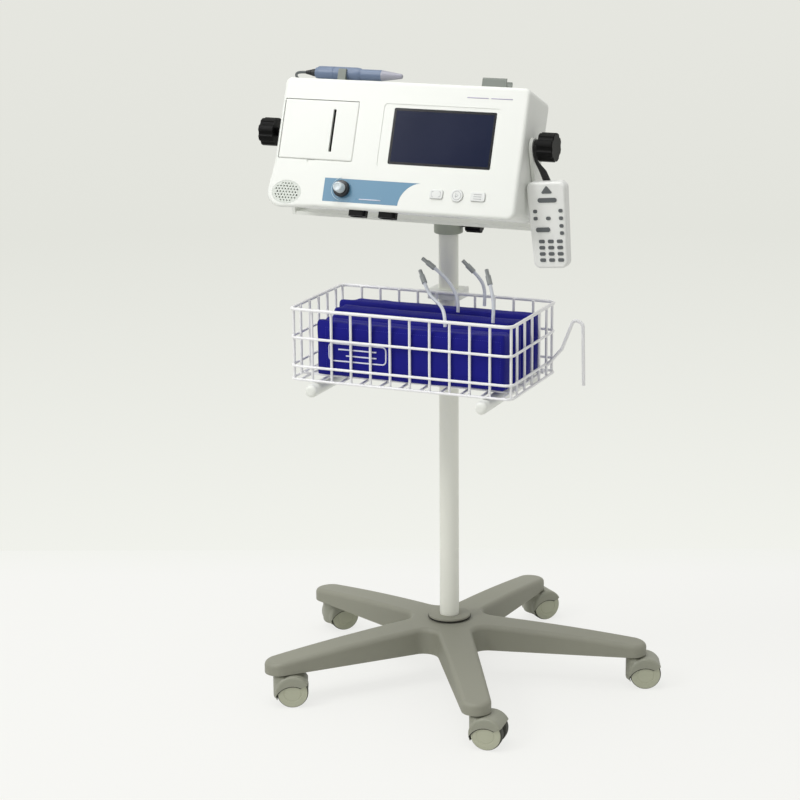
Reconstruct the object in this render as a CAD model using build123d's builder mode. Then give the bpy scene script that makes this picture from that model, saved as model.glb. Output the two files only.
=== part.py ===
from build123d import *
import os
from math import cos, pi, radians, sin, tan

# A console for blood-flow tests on a rolling pole stand. Millimetres, +Z up, the console faces -Y.
# The origin is on the floor under the pole, at the centre of the circle of casters.

os.makedirs("parts", exist_ok=True)

# ---- driving dimensions: stand ----
pole_d = 30.0
pole_wall = 2.0
pole_bottom = 47.0
pole_top = 740.0
plug_length = 26.0
arm_angles = [227.7, 299.7, 11.7, 83.7, 155.7]
stem_circle_r = 288.0
arm_width_hub = 56.0
arm_width_tip = 44.0
arm_bottom = 52.0
arm_wall = 4.0
hub_r = 40.0
hub_top = 96.0
tip_top = 69.0
crotch_r = 24.0
arm_edge_r = 7.0
boss_r = 13.0
collar_d = 67.0
collar_height = 5.0
collar_sleeve_d = 40.0
fit = 0.05
joint_gap = 0.05

# ---- driving dimensions: casters ----
trail_angles = [25.0, 5.0, 22.0, 50.0, 45.0]
wheel_d = 48.0
wheel_width = 14.6
web_width = 13.0
wheel_side_gap = 0.3
tread_gap = 0.9
hood_wall = 1.7
trail = 20.0
axle_d = 6.0
stem_d = 8.0
stem_grip_d = 11.0
stem_grip_length = 13.0
stem_flange_d = 19.0
stem_flange_t = 1.0
swivel_gap = 0.3
neck_low, neck_low_tip, neck_corner = 4.0, 8.0, 4.0
hood_edge_r, cheek_drop, cheek_rim, web_inset = 1.2, 6.0, 5.0, 8.0
axle_press, wheel_face_t = 0.02, 3.0

# ---- driving dimensions: basket ----
basket_x = 8.0
basket_width = 346.0
basket_depth = 186.0
basket_front_y = -212.0
basket_levels = [514.0, 534.0, 576.5, 619.0]
rim_wire_d = 5.0
wire_d = 4.0
weld_depth = 0.7
basket_corner_r = 12.0
front_wires = 12
side_wires = 6
floor_wires = 4
rail_spread = 266.0
rail_d = 19.0
rail_reach = 20.0
rail_gap = 0.4
cross_bar = 19.0
clamp_size = 46.0
upper_clamp_height = 14.0
hook_wire_d = 5.0
hose_hook_in, hose_hook_bend_r = 45.0, 7.0
hose_hook_bends = [(26.0, 46.0), (44.0, 92.0), (58.0, 86.0), (60.0, -6.0)]

# ---- driving dimensions: cuffs and hoses ----
cuff_thickness = 38.0
cuff_gap = 2.0
cuff_right = 172.0
cuff_lefts = [-121.0, -128.0, -140.0, -151.0]
cuff_tops = [606.0, 608.0, 610.0, 613.0]
cuff_round = 11.0
hose_d = 5.2
connector_d = 8.0
connector_length = 24.0

# ---- driving dimensions: console ----
tilt = 21.0
face_y, face_over_pole = -193.0, 122.5
face_z = pole_top + face_over_pole
case_w = 377.0
case_top = 94.2
case_bottom = 94.2
case_depth = 85.0
split_depth = 44.0
bottom_rise_split = 6.5
bottom_rise_back = 13.0
lobe_out = 10.0
lobe_down = 5.0
case_wall = 2.6
case_edge_r, back_edge_r, round_steps = 5.0, 4.0, 4
pivot_v, pivot_d = 18.0, 30.0
window_u, window_v, window_w, window_h = 65.7, 15.6, 155.0, 81.0
door_u, door_v, door_w, door_h = -125.0, 18.4, 116.0, 87.0
door_t = 4.0
door_gap = 0.6
slot_u, slot_w, slot_h = -103.5, 4.6, 62.0
paper_w, paper_r, core_r = 58.0, 22.0, 7.0
paper_u, paper_depth = -148.0, 36.0
platen_u, platen_depth, platen_r = -112.0, 13.5, 5.5
speaker_u, speaker_v, speaker_a, speaker_b = -162.4, -74.5, 23.0, 17.0
knob_u, knob_v = -75.9, -65.3
key_v = -64.3
key_us = [69.1, 100.3, 131.5]
screw_us, screw_vs = (-150.0, 165.0), (-50.0, 80.0)
post_r = 5.0
screw_r, screw_head_r, screw_seat_d, screw_bite, well_r = 1.9, 3.6, 52.0, 12.0, 4.2
boss_out_r, boss_length = 9.0, 12.0
trunnion_r, trunnion_l = 1.2, 2.0
skirt_t, skirt_depth = 2.6, 12.0
part_gap = 0.3
lobe_rest, lobe_length, lobe_height = 0.3, 75.0, 62.0
bezel_u, bezel_v, bezel_w, bezel_h, bezel_t = 61.0, 15.5, 178.0, 93.0, 0.8
window_round = 2.0
module_t = 9.0
overlay_left, overlay_low, overlay_high, overlay_t = -104.5, -84.0, -50.5, 0.6
overlay_low_u, overlay_waist_u, overlay_waist_v, overlay_high_u = 12.0, 20.5, -62.0, 44.0
door_round = 2.0
grille_t, grille_seat, grille_hole_r, grille_pitch, driver_r = 1.6, 4.0, 1.3, 4.8, 14.0
grille_rows, grille_columns = 3, 5
knob_lift, knob_skirt_r, knob_skirt_t, knob_cap_r, knob_cap_t, knob_shaft_d = 0.3, 12.0, 6.0, 7.5, 12.0, 6.0
key_lift, key_flange_t = 2.2, 1.0
panel_u, panel_v, panel_w, panel_h, panel_d = 28.0, -65.0, 248.0, 28.0, 11.0
panel_posts = [(-92.0, -55.0), (-92.0, -75.0), (148.0, -55.0), (148.0, -75.0)]
switch_front = 4.8
board_u, board_v, board_w, board_h, board_d, board_t = 30.0, 3.0, 240.0, 130.0, 74.4, 1.6
battery_box, supply_box, boxes_t = (-20.0, -25.0, 100.0, 70.0), (95.0, 10.0, 70.0, 90.0), 24.0
plate_front, plate_back, plate_t = 7.0, 60.0, 2.0
platen_shaft_d = 4.0
socket_us, socket_w, socket_l, socket_h, socket_out, socket_depth = (-52.0, -6.0), 26.0, 15.0, 15.0, 7.0, 14.0
hook_u, hook_v, peg_r, peg_length = -120.0, 30.0, 7.0, 20.0
vent_u, vent_v = 60.0, 50.0
vent_pitch, vent_count, vent_length, vent_w = 9.0, 9, 36.0, 3.0
coil_d, coil_t, coil_in_r, coil_out_r = 97.0, 8.0, 16.0, 32.0
gland_u, gland_size, gland_top = -81.0, 14.0, 101.0
left_cradle, right_cradle, cradle_w = (-109.5, -97.5, 17.0), (113.0, 149.0, 13.2), 26.0
probe_end, probe_length, probe_grip, probe_barrel, probe_tip_r = -150.0, 136.0, 68.0, 33.0, 3.5
relief_length, probe_cable_d = 16.0, 4.0
cradle_r = 10.4
cradle_floor = 1.2
cradle_depth = 18.0
probe_r = 10.0

# ---- driving dimensions: head ----
arm_gap = 0.8
yoke_t = 5.0
yoke_arm_w = 24.0
yoke_base_w = 40.0
yoke_base_y = -114.0
stud_d = 8.0
neck_d = 13.0
strap_room = 9.0
tilt_knob_r = 20.5
tilt_knob_t = 23.0
head_d = 44.0
head_grip = 34.0
head_bottom = pole_top - head_grip
head_height = 38.0
yoke_tongue_w = 60.0
screw_grip_x, screw_grip_l, screw_grip_r = 30.0, 24.0, 10.0
head_screw_up = 13.0
head_screw_z = head_bottom + head_screw_up
head_screw_d = 6.0

# ---- driving dimensions: remote control ----
remote_out, remote_drop, remote_h = 35.0, 38.5, 122.0
remote_x, remote_top = case_w / 2 + remote_out, face_z - remote_drop
remote_w_top, remote_w_bottom, remote_t = 58.0, 50.0, 18.0
remote_lean = 4.7
remote_back_gap = 7.0
strap_t = 1.6
strap_tab_drop, strap_tab_h = 17.5, 45.0
strap_tab_top = face_z - strap_tab_drop
strap_tab_bottom = strap_tab_top - strap_tab_h
remote_key_t = 0.8
remote_keys = [
    (1.5, 35.5, 28.0, 6.5, 3.1),
    (-7.5, -6.0, 21.0, 6.5, 3.1),
    (-17.4, 20.0, 6.0, 5.0, 2.0),
    (-17.4, 10.0, 6.0, 5.0, 2.0),
    (1.5, 10.0, 7.0, 5.0, 2.4),
]
remote_side_key_u, remote_side_key_vs = 20.2, (20.5, 10.0, -0.8, -11.0)
pad_us, pad_vs, pad_key_w, pad_key_h = (-10.5, 2.8, 16.1), (-22.5, -31.3, -40.1, -48.9), 8.6, 5.0
triangle_v, triangle_w, triangle_h = 50.5, 18.0, 12.0

written = []


def write(part, label):
    part.label = label
    export_step(part, f"parts/{label}.step")
    written.append(label)


def group(solids):
    """Several separate solids that share one node."""
    return Compound(children=solids)


def polar(radius, angle, z=0.0):
    return Vector(radius * cos(radians(angle)), radius * sin(radians(angle)), z)


# ================= base =================
star_tip_r = stem_circle_r + arm_width_tip / 2


def star_outline(inset):
    """The five arms and the hub seen from above, drawn in by inset."""
    with BuildSketch() as outline:
        Circle(hub_r)
        for angle in arm_angles:
            with Locations(Rotation(0, 0, angle)):
                Polygon(
                    (0, -arm_width_hub / 2),
                    (stem_circle_r, -arm_width_tip / 2),
                    (stem_circle_r, arm_width_tip / 2),
                    (0, arm_width_hub / 2),
                    align=None,
                )
            with Locations(polar(stem_circle_r, angle)):
                Circle(arm_width_tip / 2)
        crotches = [v for v in outline.vertices() if v.center().length < 1.5 * hub_r]
        fillet(crotches, crotch_r)
        if inset > 0.01:
            offset(amount=-inset)
    return outline.sketch


def star_envelope(bottom, drop):
    """The turned shape that the arms' tops follow, lowered by drop."""
    with BuildPart() as envelope:
        with BuildSketch(Plane.XZ) as section:
            with BuildLine():
                crown = ThreePointArc(
                    (0, hub_top - drop),
                    (0.5 * star_tip_r, 0.36 * tip_top + 0.64 * hub_top - drop),
                    (star_tip_r + 5, tip_top - drop),
                )
                Polyline(crown @ 1, (star_tip_r + 5, bottom), (0, bottom), crown @ 0)
            make_face()
        revolve(axis=Axis.Z)
    return envelope.part


with BuildPart() as base_star:
    add(star_outline(0))
    extrude(amount=hub_top + 10)
    add(star_envelope(arm_bottom, 0), mode=Mode.INTERSECT)
    top_edges = [
        e
        for e in base_star.edges()
        if min(e.position_at(0).Z, e.position_at(1).Z) > arm_bottom + 5
        and abs(e.tangent_at(0.5).Z) < 0.7
    ]
    fillet(top_edges, arm_edge_r)

with BuildPart() as star_pocket:
    add(star_outline(arm_wall))
    extrude(amount=hub_top + 10)
    add(star_envelope(arm_bottom - 1, arm_wall), mode=Mode.INTERSECT)
    with BuildSketch() as kept_bosses:
        Circle(collar_sleeve_d / 2 + 8)
        for angle in arm_angles:
            with Locations(polar(stem_circle_r, angle)):
                Circle(boss_r)
    extrude(amount=hub_top, mode=Mode.SUBTRACT)

with BuildPart() as base_star_hollow:
    add(base_star.part)
    add(star_pocket.part, mode=Mode.SUBTRACT)
    Cylinder(
        collar_sleeve_d / 2 + fit,
        2 * hub_top,
        mode=Mode.SUBTRACT,
    )
    for angle in arm_angles:
        with Locations(polar(stem_circle_r, angle, arm_bottom)):
            Cylinder(
                stem_grip_d / 2 + fit,
                stem_grip_length,
                align=(Align.CENTER, Align.CENTER, Align.MIN),
                mode=Mode.SUBTRACT,
            )
write(base_star_hollow.part, "base_star")

sleeve_bottom = pole_bottom + 5
with BuildPart() as base_collar:
    with BuildSketch(Plane.XY.offset(hub_top + 0.1)):
        Circle(collar_d / 2)
    extrude(amount=collar_height)
    fillet(base_collar.faces().sort_by(Axis.Z)[-1].edges(), 1.8)
    with BuildSketch(Plane.XY.offset(sleeve_bottom)):
        Circle(collar_sleeve_d / 2)
    extrude(amount=hub_top + 0.1 - sleeve_bottom)
    with BuildSketch(Plane.XY.offset(sleeve_bottom)):
        Circle(pole_d / 2 + fit)
    extrude(amount=hub_top, mode=Mode.SUBTRACT)
write(base_collar.part, "base_collar")

# ================= pole =================
with BuildPart() as pole:
    with BuildSketch(Plane.XY.offset(pole_bottom)):
        Circle(pole_d / 2)
    extrude(amount=pole_top - pole_bottom)
    with BuildSketch(Plane.XY.offset(pole_bottom + plug_length)):
        Circle(pole_d / 2 - pole_wall)
    extrude(amount=pole_top - pole_bottom, mode=Mode.SUBTRACT)
    bolt_r = 5.0
    with BuildSketch(Plane.XY.offset(pole_bottom)):
        Circle(bolt_r + fit)
    extrude(amount=plug_length, mode=Mode.SUBTRACT)
write(pole.part, "pole")

washer_t = 3.0
washer_top = arm_bottom - 0.1
washer_r = collar_sleeve_d / 2 + 6
bolt_head_t = 7.0
with BuildPart() as pole_washer:
    with BuildSketch(Plane.XY.offset(pole_bottom - washer_t)):
        Circle(washer_r)
        Circle(bolt_r + fit, mode=Mode.SUBTRACT)
    extrude(amount=washer_t)
    with BuildSketch(Plane.XY.offset(pole_bottom)):
        Circle(washer_r)
        Circle(collar_sleeve_d / 2 + 0.5, mode=Mode.SUBTRACT)
    extrude(amount=washer_top - pole_bottom)
with BuildPart() as pole_bolt:
    with BuildSketch(Plane.XY.offset(pole_bottom - washer_t - bolt_head_t)):
        RegularPolygon(8.5, 6, major_radius=False)
    extrude(amount=bolt_head_t)
    with BuildSketch(Plane.XY.offset(pole_bottom - washer_t)):
        Circle(bolt_r)
    extrude(amount=washer_t + plug_length - 2)
write(group([pole_washer.part, pole_bolt.part]), "pole_fixings")

# ================= casters =================
axle_z = wheel_d / 2
wheel_in = web_width / 2 + wheel_side_gap
wheel_out = wheel_in + wheel_width
hood_r = wheel_d / 2 + tread_gap + hood_wall
hood_half = wheel_out + wheel_side_gap + hood_wall
swivel_top = axle_z + hood_r
stem_low = axle_z - 1.0

stem_solids = []
for angle in arm_angles:
    foot = polar(stem_circle_r, angle)
    with BuildPart() as stem:
        with BuildSketch(Plane.XY.offset(stem_low)):
            with Locations(foot):
                Circle(stem_d / 2)
        extrude(amount=arm_bottom - stem_low)
        with BuildSketch(Plane.XY.offset(arm_bottom - 0.05 - stem_flange_t)):
            with Locations(foot):
                Circle(stem_flange_d / 2)
        extrude(amount=stem_flange_t)
        with BuildSketch(Plane.XY.offset(arm_bottom - 0.05)):
            with Locations(foot):
                Circle(stem_grip_d / 2)
        extrude(amount=stem_grip_length - 0.5)
    stem_solids.append(stem.part)
write(group(stem_solids), "caster_stems")

with BuildPart() as housing:
    with BuildSketch(Plane.XZ.offset(-hood_half)):
        with Locations((trail, axle_z)):
            Circle(hood_r)
        Polygon(
            (-stem_flange_d / 2, axle_z + neck_low),
            (trail, axle_z - neck_low_tip),
            (trail, swivel_top),
            (-stem_flange_d / 2 + neck_corner, swivel_top),
            (-stem_flange_d / 2, swivel_top - neck_corner),
            align=None,
        )
    extrude(amount=2 * hood_half)
    fillet([e for e in housing.edges() if abs(e.tangent_at(0.5).Y) < 0.5], hood_edge_r)
    # a round room for each wheel, beside the web
    for sign in (1, -1):
        with BuildSketch(Plane.XZ.offset(sign * web_width / 2)):
            with Locations((trail, axle_z)):
                Circle(wheel_d / 2 + tread_gap)
        extrude(amount=sign * (wheel_width + 2 * wheel_side_gap), mode=Mode.SUBTRACT)
    # the hood is cut away below and behind, and its cheeks are open round the wheel's disc
    with BuildSketch(Plane.XZ.offset(-hood_half - 1)):
        Polygon(
            (trail - 40, -5),
            (trail - 40, axle_z - 12),
            (trail - 8, axle_z - 6),
            (trail + 12, axle_z + 6),
            (trail + 40, axle_z + 16),
            (trail + 40, -5),
            align=None,
        )
    extrude(amount=2 * hood_half + 2, mode=Mode.SUBTRACT)
    for sign in (1, -1):
        with BuildSketch(Plane.XZ.offset(sign * (wheel_out + wheel_side_gap / 2))):
            with Locations((trail, axle_z - cheek_drop)):
                Circle(wheel_d / 2 - cheek_rim)
        extrude(amount=sign * (hood_wall + 2), mode=Mode.SUBTRACT)
    # the web with the axle's bore, and the stem's bore
    with BuildSketch(Plane.XZ.offset(-web_width / 2)):
        with Locations((trail, axle_z)):
            Circle(wheel_d / 2 - web_inset)
    extrude(amount=web_width)
    with BuildSketch(Plane.XZ.offset(-web_width / 2)):
        with Locations((trail, axle_z)):
            Circle(axle_d / 2 + fit)
    extrude(amount=web_width, mode=Mode.SUBTRACT)
    with BuildSketch(Plane.XY.offset(stem_low - swivel_gap)):
        Circle(stem_d / 2 + fit)
    extrude(amount=swivel_top, mode=Mode.SUBTRACT)

wheel_solids = []
for sign in (1, -1):
    with BuildPart() as wheel:
        with BuildSketch(Plane.XZ.offset(sign * wheel_in)):
            with Locations((trail, axle_z)):
                Circle(wheel_d / 2)
        extrude(amount=sign * wheel_width)
        outward = Axis((0, 0, 0), (0, -sign, 0))
        fillet(wheel.faces().sort_by(outward)[-1].edges(), 3.0)
        fillet(wheel.faces().sort_by(outward)[0].edges(), 1.0)
        # a shallow ring in the outer face, and the axle's blind bore from the inner one
        with BuildSketch(Plane.XZ.offset(sign * (wheel_out - 1.0))):
            with Locations((trail, axle_z)):
                Circle(wheel_d / 2 - 5)
                Circle(wheel_d / 2 - 7, mode=Mode.SUBTRACT)
        extrude(amount=sign * 2, mode=Mode.SUBTRACT)
        with BuildSketch(Plane.XZ.offset(sign * wheel_in)):
            with Locations((trail, axle_z)):
                Circle(axle_d / 2 + axle_press)
        extrude(amount=sign * (wheel_width - wheel_face_t), mode=Mode.SUBTRACT)
    wheel_solids.append(wheel.part)
with BuildPart() as axle:
    with BuildSketch(Plane.XZ.offset(-(wheel_out - wheel_face_t - 0.5))):
        with Locations((trail, axle_z)):
            Circle(axle_d / 2)
    extrude(amount=2 * (wheel_out - wheel_face_t - 0.5))

for number, (angle, heading) in enumerate(zip(arm_angles, trail_angles), start=1):
    place = Location(polar(stem_circle_r, angle), (0, 0, heading))
    write(housing.part.moved(place), f"caster_{number}_housing")
    write(group([solid.moved(place) for solid in wheel_solids + [axle.part]]), f"caster_{number}_wheels")

# ================= basket =================
left_x = basket_x - basket_width / 2
right_x = basket_x + basket_width / 2
front_y = basket_front_y
back_y = basket_front_y + basket_depth
level_wires = [wire_d] * (len(basket_levels) - 1) + [rim_wire_d]
upright_inset = wire_d - weld_depth


def wall_panel(wall_y, inward):
    """Front or back wall: horizontal wires that turn both corners, and upright wires."""
    with BuildPart() as panel:
        for level, thick in zip(basket_levels, level_wires):
            with BuildLine() as route:
                FilletPolyline(
                    (left_x, wall_y + inward * (basket_corner_r + 2), level),
                    (left_x, wall_y, level),
                    (right_x, wall_y, level),
                    (right_x, wall_y + inward * (basket_corner_r + 2), level),
                    radius=basket_corner_r,
                )
            start = route.line
            with BuildSketch(Plane(origin=start @ 0, z_dir=start % 0)):
                Circle(thick / 2)
            sweep(path=start)
        with BuildSketch(Plane.XY.offset(basket_levels[0])):
            for i in range(front_wires):
                x = left_x + upright_inset + i * (basket_width - 2 * upright_inset) / (front_wires - 1)
                lift = upright_inset if 0 < i < front_wires - 1 else upright_inset + 3.5
                with Locations((x, wall_y + inward * lift)):
                    Circle(wire_d / 2)
        extrude(amount=basket_levels[-1] - basket_levels[0])
    return panel.part


def side_panel(wall_x, inward):
    """Left or right wall, between the two corner turns."""
    low = front_y + basket_corner_r + 2 + joint_gap
    high = back_y - basket_corner_r - 2 - joint_gap
    with BuildPart() as panel:
        for level, thick in zip(basket_levels, level_wires):
            with BuildSketch(Plane(origin=(wall_x, low, level), z_dir=(0, 1, 0))):
                Circle(thick / 2)
            extrude(amount=high - low)
        with BuildSketch(Plane.XY.offset(basket_levels[0])):
            for i in range(1, side_wires):
                y = front_y + i * basket_depth / side_wires
                with Locations((wall_x + inward * upright_inset, y)):
                    Circle(wire_d / 2)
        extrude(amount=basket_levels[-1] - basket_levels[0])
    return panel.part


write(wall_panel(front_y, 1), "basket_front")
write(wall_panel(back_y, -1), "basket_back")
write(group([side_panel(left_x, 1), side_panel(right_x, -1)]), "basket_sides")

floor_z = basket_levels[0]
floor_top = floor_z + wire_d - weld_depth + wire_d / 2
with BuildPart() as basket_floor:
    inner = wire_d / 2 + joint_gap
    span = basket_depth - 2 * inner
    with BuildSketch(Plane(origin=(0, front_y + inner, floor_z), x_dir=(1, 0, 0), z_dir=(0, 1, 0))):
        for i in range(1, front_wires):
            x = left_x + (i - 0.5) * basket_width / (front_wires - 1)
            with Locations((x, 0)):
                Circle(wire_d / 2)
    extrude(amount=span)
    edge = 2 * wire_d
    long_wire_z = floor_z + wire_d - weld_depth
    with BuildSketch(Plane(origin=(left_x + edge, 0, long_wire_z), x_dir=(0, 1, 0), z_dir=(1, 0, 0))):
        for i in range(floor_wires):
            y = front_y + (i + 0.7) * basket_depth / (floor_wires + 0.4)
            with Locations((y, 0)):
                Circle(wire_d / 2)
    extrude(amount=basket_width - 2 * edge)
write(basket_floor.part, "basket_floor")

# support rails under the basket, cross bar and the two pole clamps
rail_z = floor_z - wire_d / 2 - rail_gap - rail_d / 2
bar_front = -clamp_size / 2 - cross_bar
bracket_solids = []
with BuildPart() as lower_clamp:
    with BuildSketch(Plane.XY.offset(rail_z - cross_bar / 2)):
        RectangleRounded(clamp_size, clamp_size, 6)
        Circle(pole_d / 2 + fit, mode=Mode.SUBTRACT)
    extrude(amount=cross_bar)
bracket_solids.append(lower_clamp.part)
with BuildPart() as bar:
    with BuildSketch(Plane.XY.offset(rail_z - cross_bar / 2)):
        with Locations((basket_x, bar_front + cross_bar / 2 - joint_gap)):
            Rectangle(rail_spread + rail_d + 6, cross_bar)
    extrude(amount=cross_bar)
    fillet(bar.edges().filter_by(Axis.X), 3)
bracket_solids.append(bar.part)
for sign in (-1, 1):
    rail_start = bar_front - 2 * joint_gap
    rail_end = front_y - rail_reach
    with BuildPart() as rail:
        rail_x = basket_x + sign * rail_spread / 2
        with BuildSketch(Plane(origin=(rail_x, rail_start, rail_z), z_dir=(0, -1, 0))):
            Circle(rail_d / 2)
        extrude(amount=rail_start - rail_end)
        fillet(rail.faces().sort_by(Axis.Y)[0].edges(), 6)
    bracket_solids.append(rail.part)
clamp_top = basket_levels[-1] + rim_wire_d / 2
clamp_front = back_y + rim_wire_d / 2 + joint_gap
clamp_back = clamp_size / 2 - 3
with BuildPart() as upper_clamp:
    with BuildSketch(Plane.XY.offset(clamp_top - upper_clamp_height)):
        with Locations((0, (clamp_front + clamp_back) / 2)):
            RectangleRounded(clamp_size + 6, clamp_back - clamp_front, 4)
        Circle(pole_d / 2 + fit, mode=Mode.SUBTRACT)
    extrude(amount=upper_clamp_height)
bracket_solids.append(upper_clamp.part)
write(group(bracket_solids), "basket_bracket")

# a bent wire on the basket's right wall, where spare hose is hung
hook_y = back_y - hose_hook_in
hook_foot = right_x + wire_d / 2 + hook_wire_d / 2 - 0.5
with BuildPart() as hose_hook:
    with BuildLine() as hook_route:
        FilletPolyline(
            (hook_foot, hook_y, basket_levels[1]),
            *[(right_x + out, hook_y, basket_levels[0] + up) for out, up in hose_hook_bends],
            radius=hose_hook_bend_r,
        )
    with BuildSketch(Plane(origin=hook_route.line @ 0, z_dir=hook_route.line % 0)):
        Circle(hook_wire_d / 2)
    sweep(path=hook_route.line)
write(hose_hook.part, "hose_hook")

# ================= cuffs and hoses =================
cuff_bottom = floor_top + 0.3
cuff_front = front_y + upright_inset + wire_d / 2 + 0.5
cuff_ys = [cuff_front + cuff_thickness / 2 + i * (cuff_thickness + cuff_gap) for i in range(4)]
for number, (y, left, top) in enumerate(zip(cuff_ys, cuff_lefts, cuff_tops), start=1):
    with BuildPart() as cuff:
        with BuildSketch(Plane.XY.offset(cuff_bottom)):
            with Locations(((left + cuff_right) / 2, y)):
                RectangleRounded(cuff_right - left, cuff_thickness, cuff_round)
        extrude(amount=top - cuff_bottom)
        fillet(cuff.faces().sort_by(Axis.Z)[-1].edges(), cuff_round - 1)
    write(cuff.part, f"cuff_{number}")


def tube(points, diameter, name):
    """A cord's tube: straight runs joined by tangent arcs as large as the runs allow."""
    runs = [points[i + 1] - points[i] for i in range(len(points) - 1)]
    radii = []
    for before, after in zip(runs, runs[1:]):
        half_turn = radians(before.get_angle(after)) / 2
        radii.append(0.45 * min(before.length, after.length) / tan(half_turn))
    with BuildPart() as body:
        with BuildLine() as route:
            FilletPolyline(*points, radius=radii)
        with BuildSketch(Plane(origin=route.line @ 0, z_dir=route.line % 0)):
            Circle(diameter / 2)
        sweep(path=route.line)
    length = sum(edge.length for edge in route.line.edges())
    print(name, "length", round(length, 1), "smallest radius", round(min(radii), 1))
    print(name, "volume ratio", round(body.part.volume / (pi * diameter**2 / 4 * length), 4))
    return body.part


hose_points = [
    [(70, -187.2), (69.6, -186.8, 617), (63, -177, 629), (47, -159, 635), (31, -141, 637),
     (18, -126, 642), (10, -118, 652)],
    [(128, -147.2), (128, -146, 620), (127, -142, 633), (123, -136, 647), (117, -130, 660)],
    [(58, -107.2), (58, -106, 622), (54, -104, 636), (44, -101, 650), (31, -98, 662),
     (17, -97, 671)],
    [(84, -67.2), (84, -66, 625), (83, -64, 638), (78, -64, 652), (67, -66, 663)],
]
connector_solids = []
for number, (route_points, y, top) in enumerate(zip(hose_points, cuff_ys, cuff_tops), start=1):
    start = Vector(route_points[0][0], y, top + part_gap)
    points = [start] + [Vector(p) for p in route_points[1:]]
    write(tube(points, hose_d, f"hose_{number}"), f"hose_{number}")
    end_way = (points[-1] - points[-2]).normalized()
    grip = Plane(origin=points[-1] + end_way * joint_gap, z_dir=end_way)
    with BuildPart() as connector:
        with BuildSketch(grip):
            Circle(connector_d / 2)
        extrude(amount=0.6 * connector_length)
        with BuildSketch(grip.offset(0.6 * connector_length)):
            Circle(0.36 * connector_d)
        extrude(amount=0.4 * connector_length)
    connector_solids.append(connector.part)
write(group(connector_solids), "hose_connectors")

# ================= console case =================
# u runs along the width, v up the face, depth goes into the case
lean = radians(tilt)
face = Plane(
    origin=(0, face_y, face_z),
    x_dir=(1, 0, 0),
    z_dir=(0, -cos(lean), sin(lean)),
)


def at(u, v, depth):
    return face.from_local_coords(Vector(u, v, -depth))


def across(u, v, depth):
    """A plane at that point whose normal runs along the width."""
    return Plane(origin=at(u, v, depth), x_dir=face.y_dir, z_dir=face.x_dir)


def upright(u, v, depth):
    """A plane at that point whose normal runs up the face."""
    return Plane(origin=at(u, v, depth), x_dir=face.x_dir, z_dir=face.y_dir)


half_w = case_w / 2


def case_rise(depth):
    """How far the underside has risen at that depth."""
    if depth < split_depth:
        return bottom_rise_split * depth / split_depth
    share = (depth - split_depth) / (case_depth - split_depth)
    return bottom_rise_split + (bottom_rise_back - bottom_rise_split) * share


def case_outline(depth, inset):
    low = case_rise(depth) - case_bottom
    share = min(depth / split_depth, 1)
    out = lobe_out + (lobe_rest - lobe_out) * share
    down = lobe_down + (lobe_rest - lobe_down) * share
    with BuildSketch(face.offset(-depth)) as outline:
        with BuildLine():
            FilletPolyline(
                (-half_w, case_top),
                (half_w, case_top),
                (half_w, low),
                (-half_w + lobe_length, low),
                (-half_w - out, low - down),
                (-half_w, low + lobe_height),
                radius=(10, 10, 12, 50, 24, 50),
                close=True,
            )
        make_face()
        if inset > 0.01:
            offset(amount=-inset)
    return outline.sketch


def case_block(start, end, inset):
    with BuildPart() as block:
        add(case_outline(start, inset))
        add(case_outline(end, inset))
        loft(ruled=True)
    return block.part


screw_places = [(u, v) for u in screw_us for v in screw_vs]
door_left, door_right = door_u - door_w / 2, door_u + door_w / 2
door_low, door_high = door_v - door_h / 2, door_v + door_h / 2
hinge_v, hinge_d = door_high - door_t / 2, door_t / 2
key_shapes = [(20.0, 13.0, 3.0), (18.0, 18.0, 8.9), (22.0, 13.0, 3.0)]


def overlay_outline(gap):
    """The blue panel: straight on the left, with a hollow curve on the right."""
    left, low, high = overlay_left - gap, overlay_low - gap, overlay_high + gap
    low_end, waist, high_end = overlay_low_u + 2 * gap, overlay_waist_u + 2 * gap, overlay_high_u + 2 * gap
    with BuildSketch(face) as outline:
        with BuildLine():
            Polyline((low_end, low), (left, low), (left, high), (high_end, high))
            ThreePointArc((high_end, high), (waist, overlay_waist_v), (low_end, low))
        make_face()
    return outline.sketch


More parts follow.
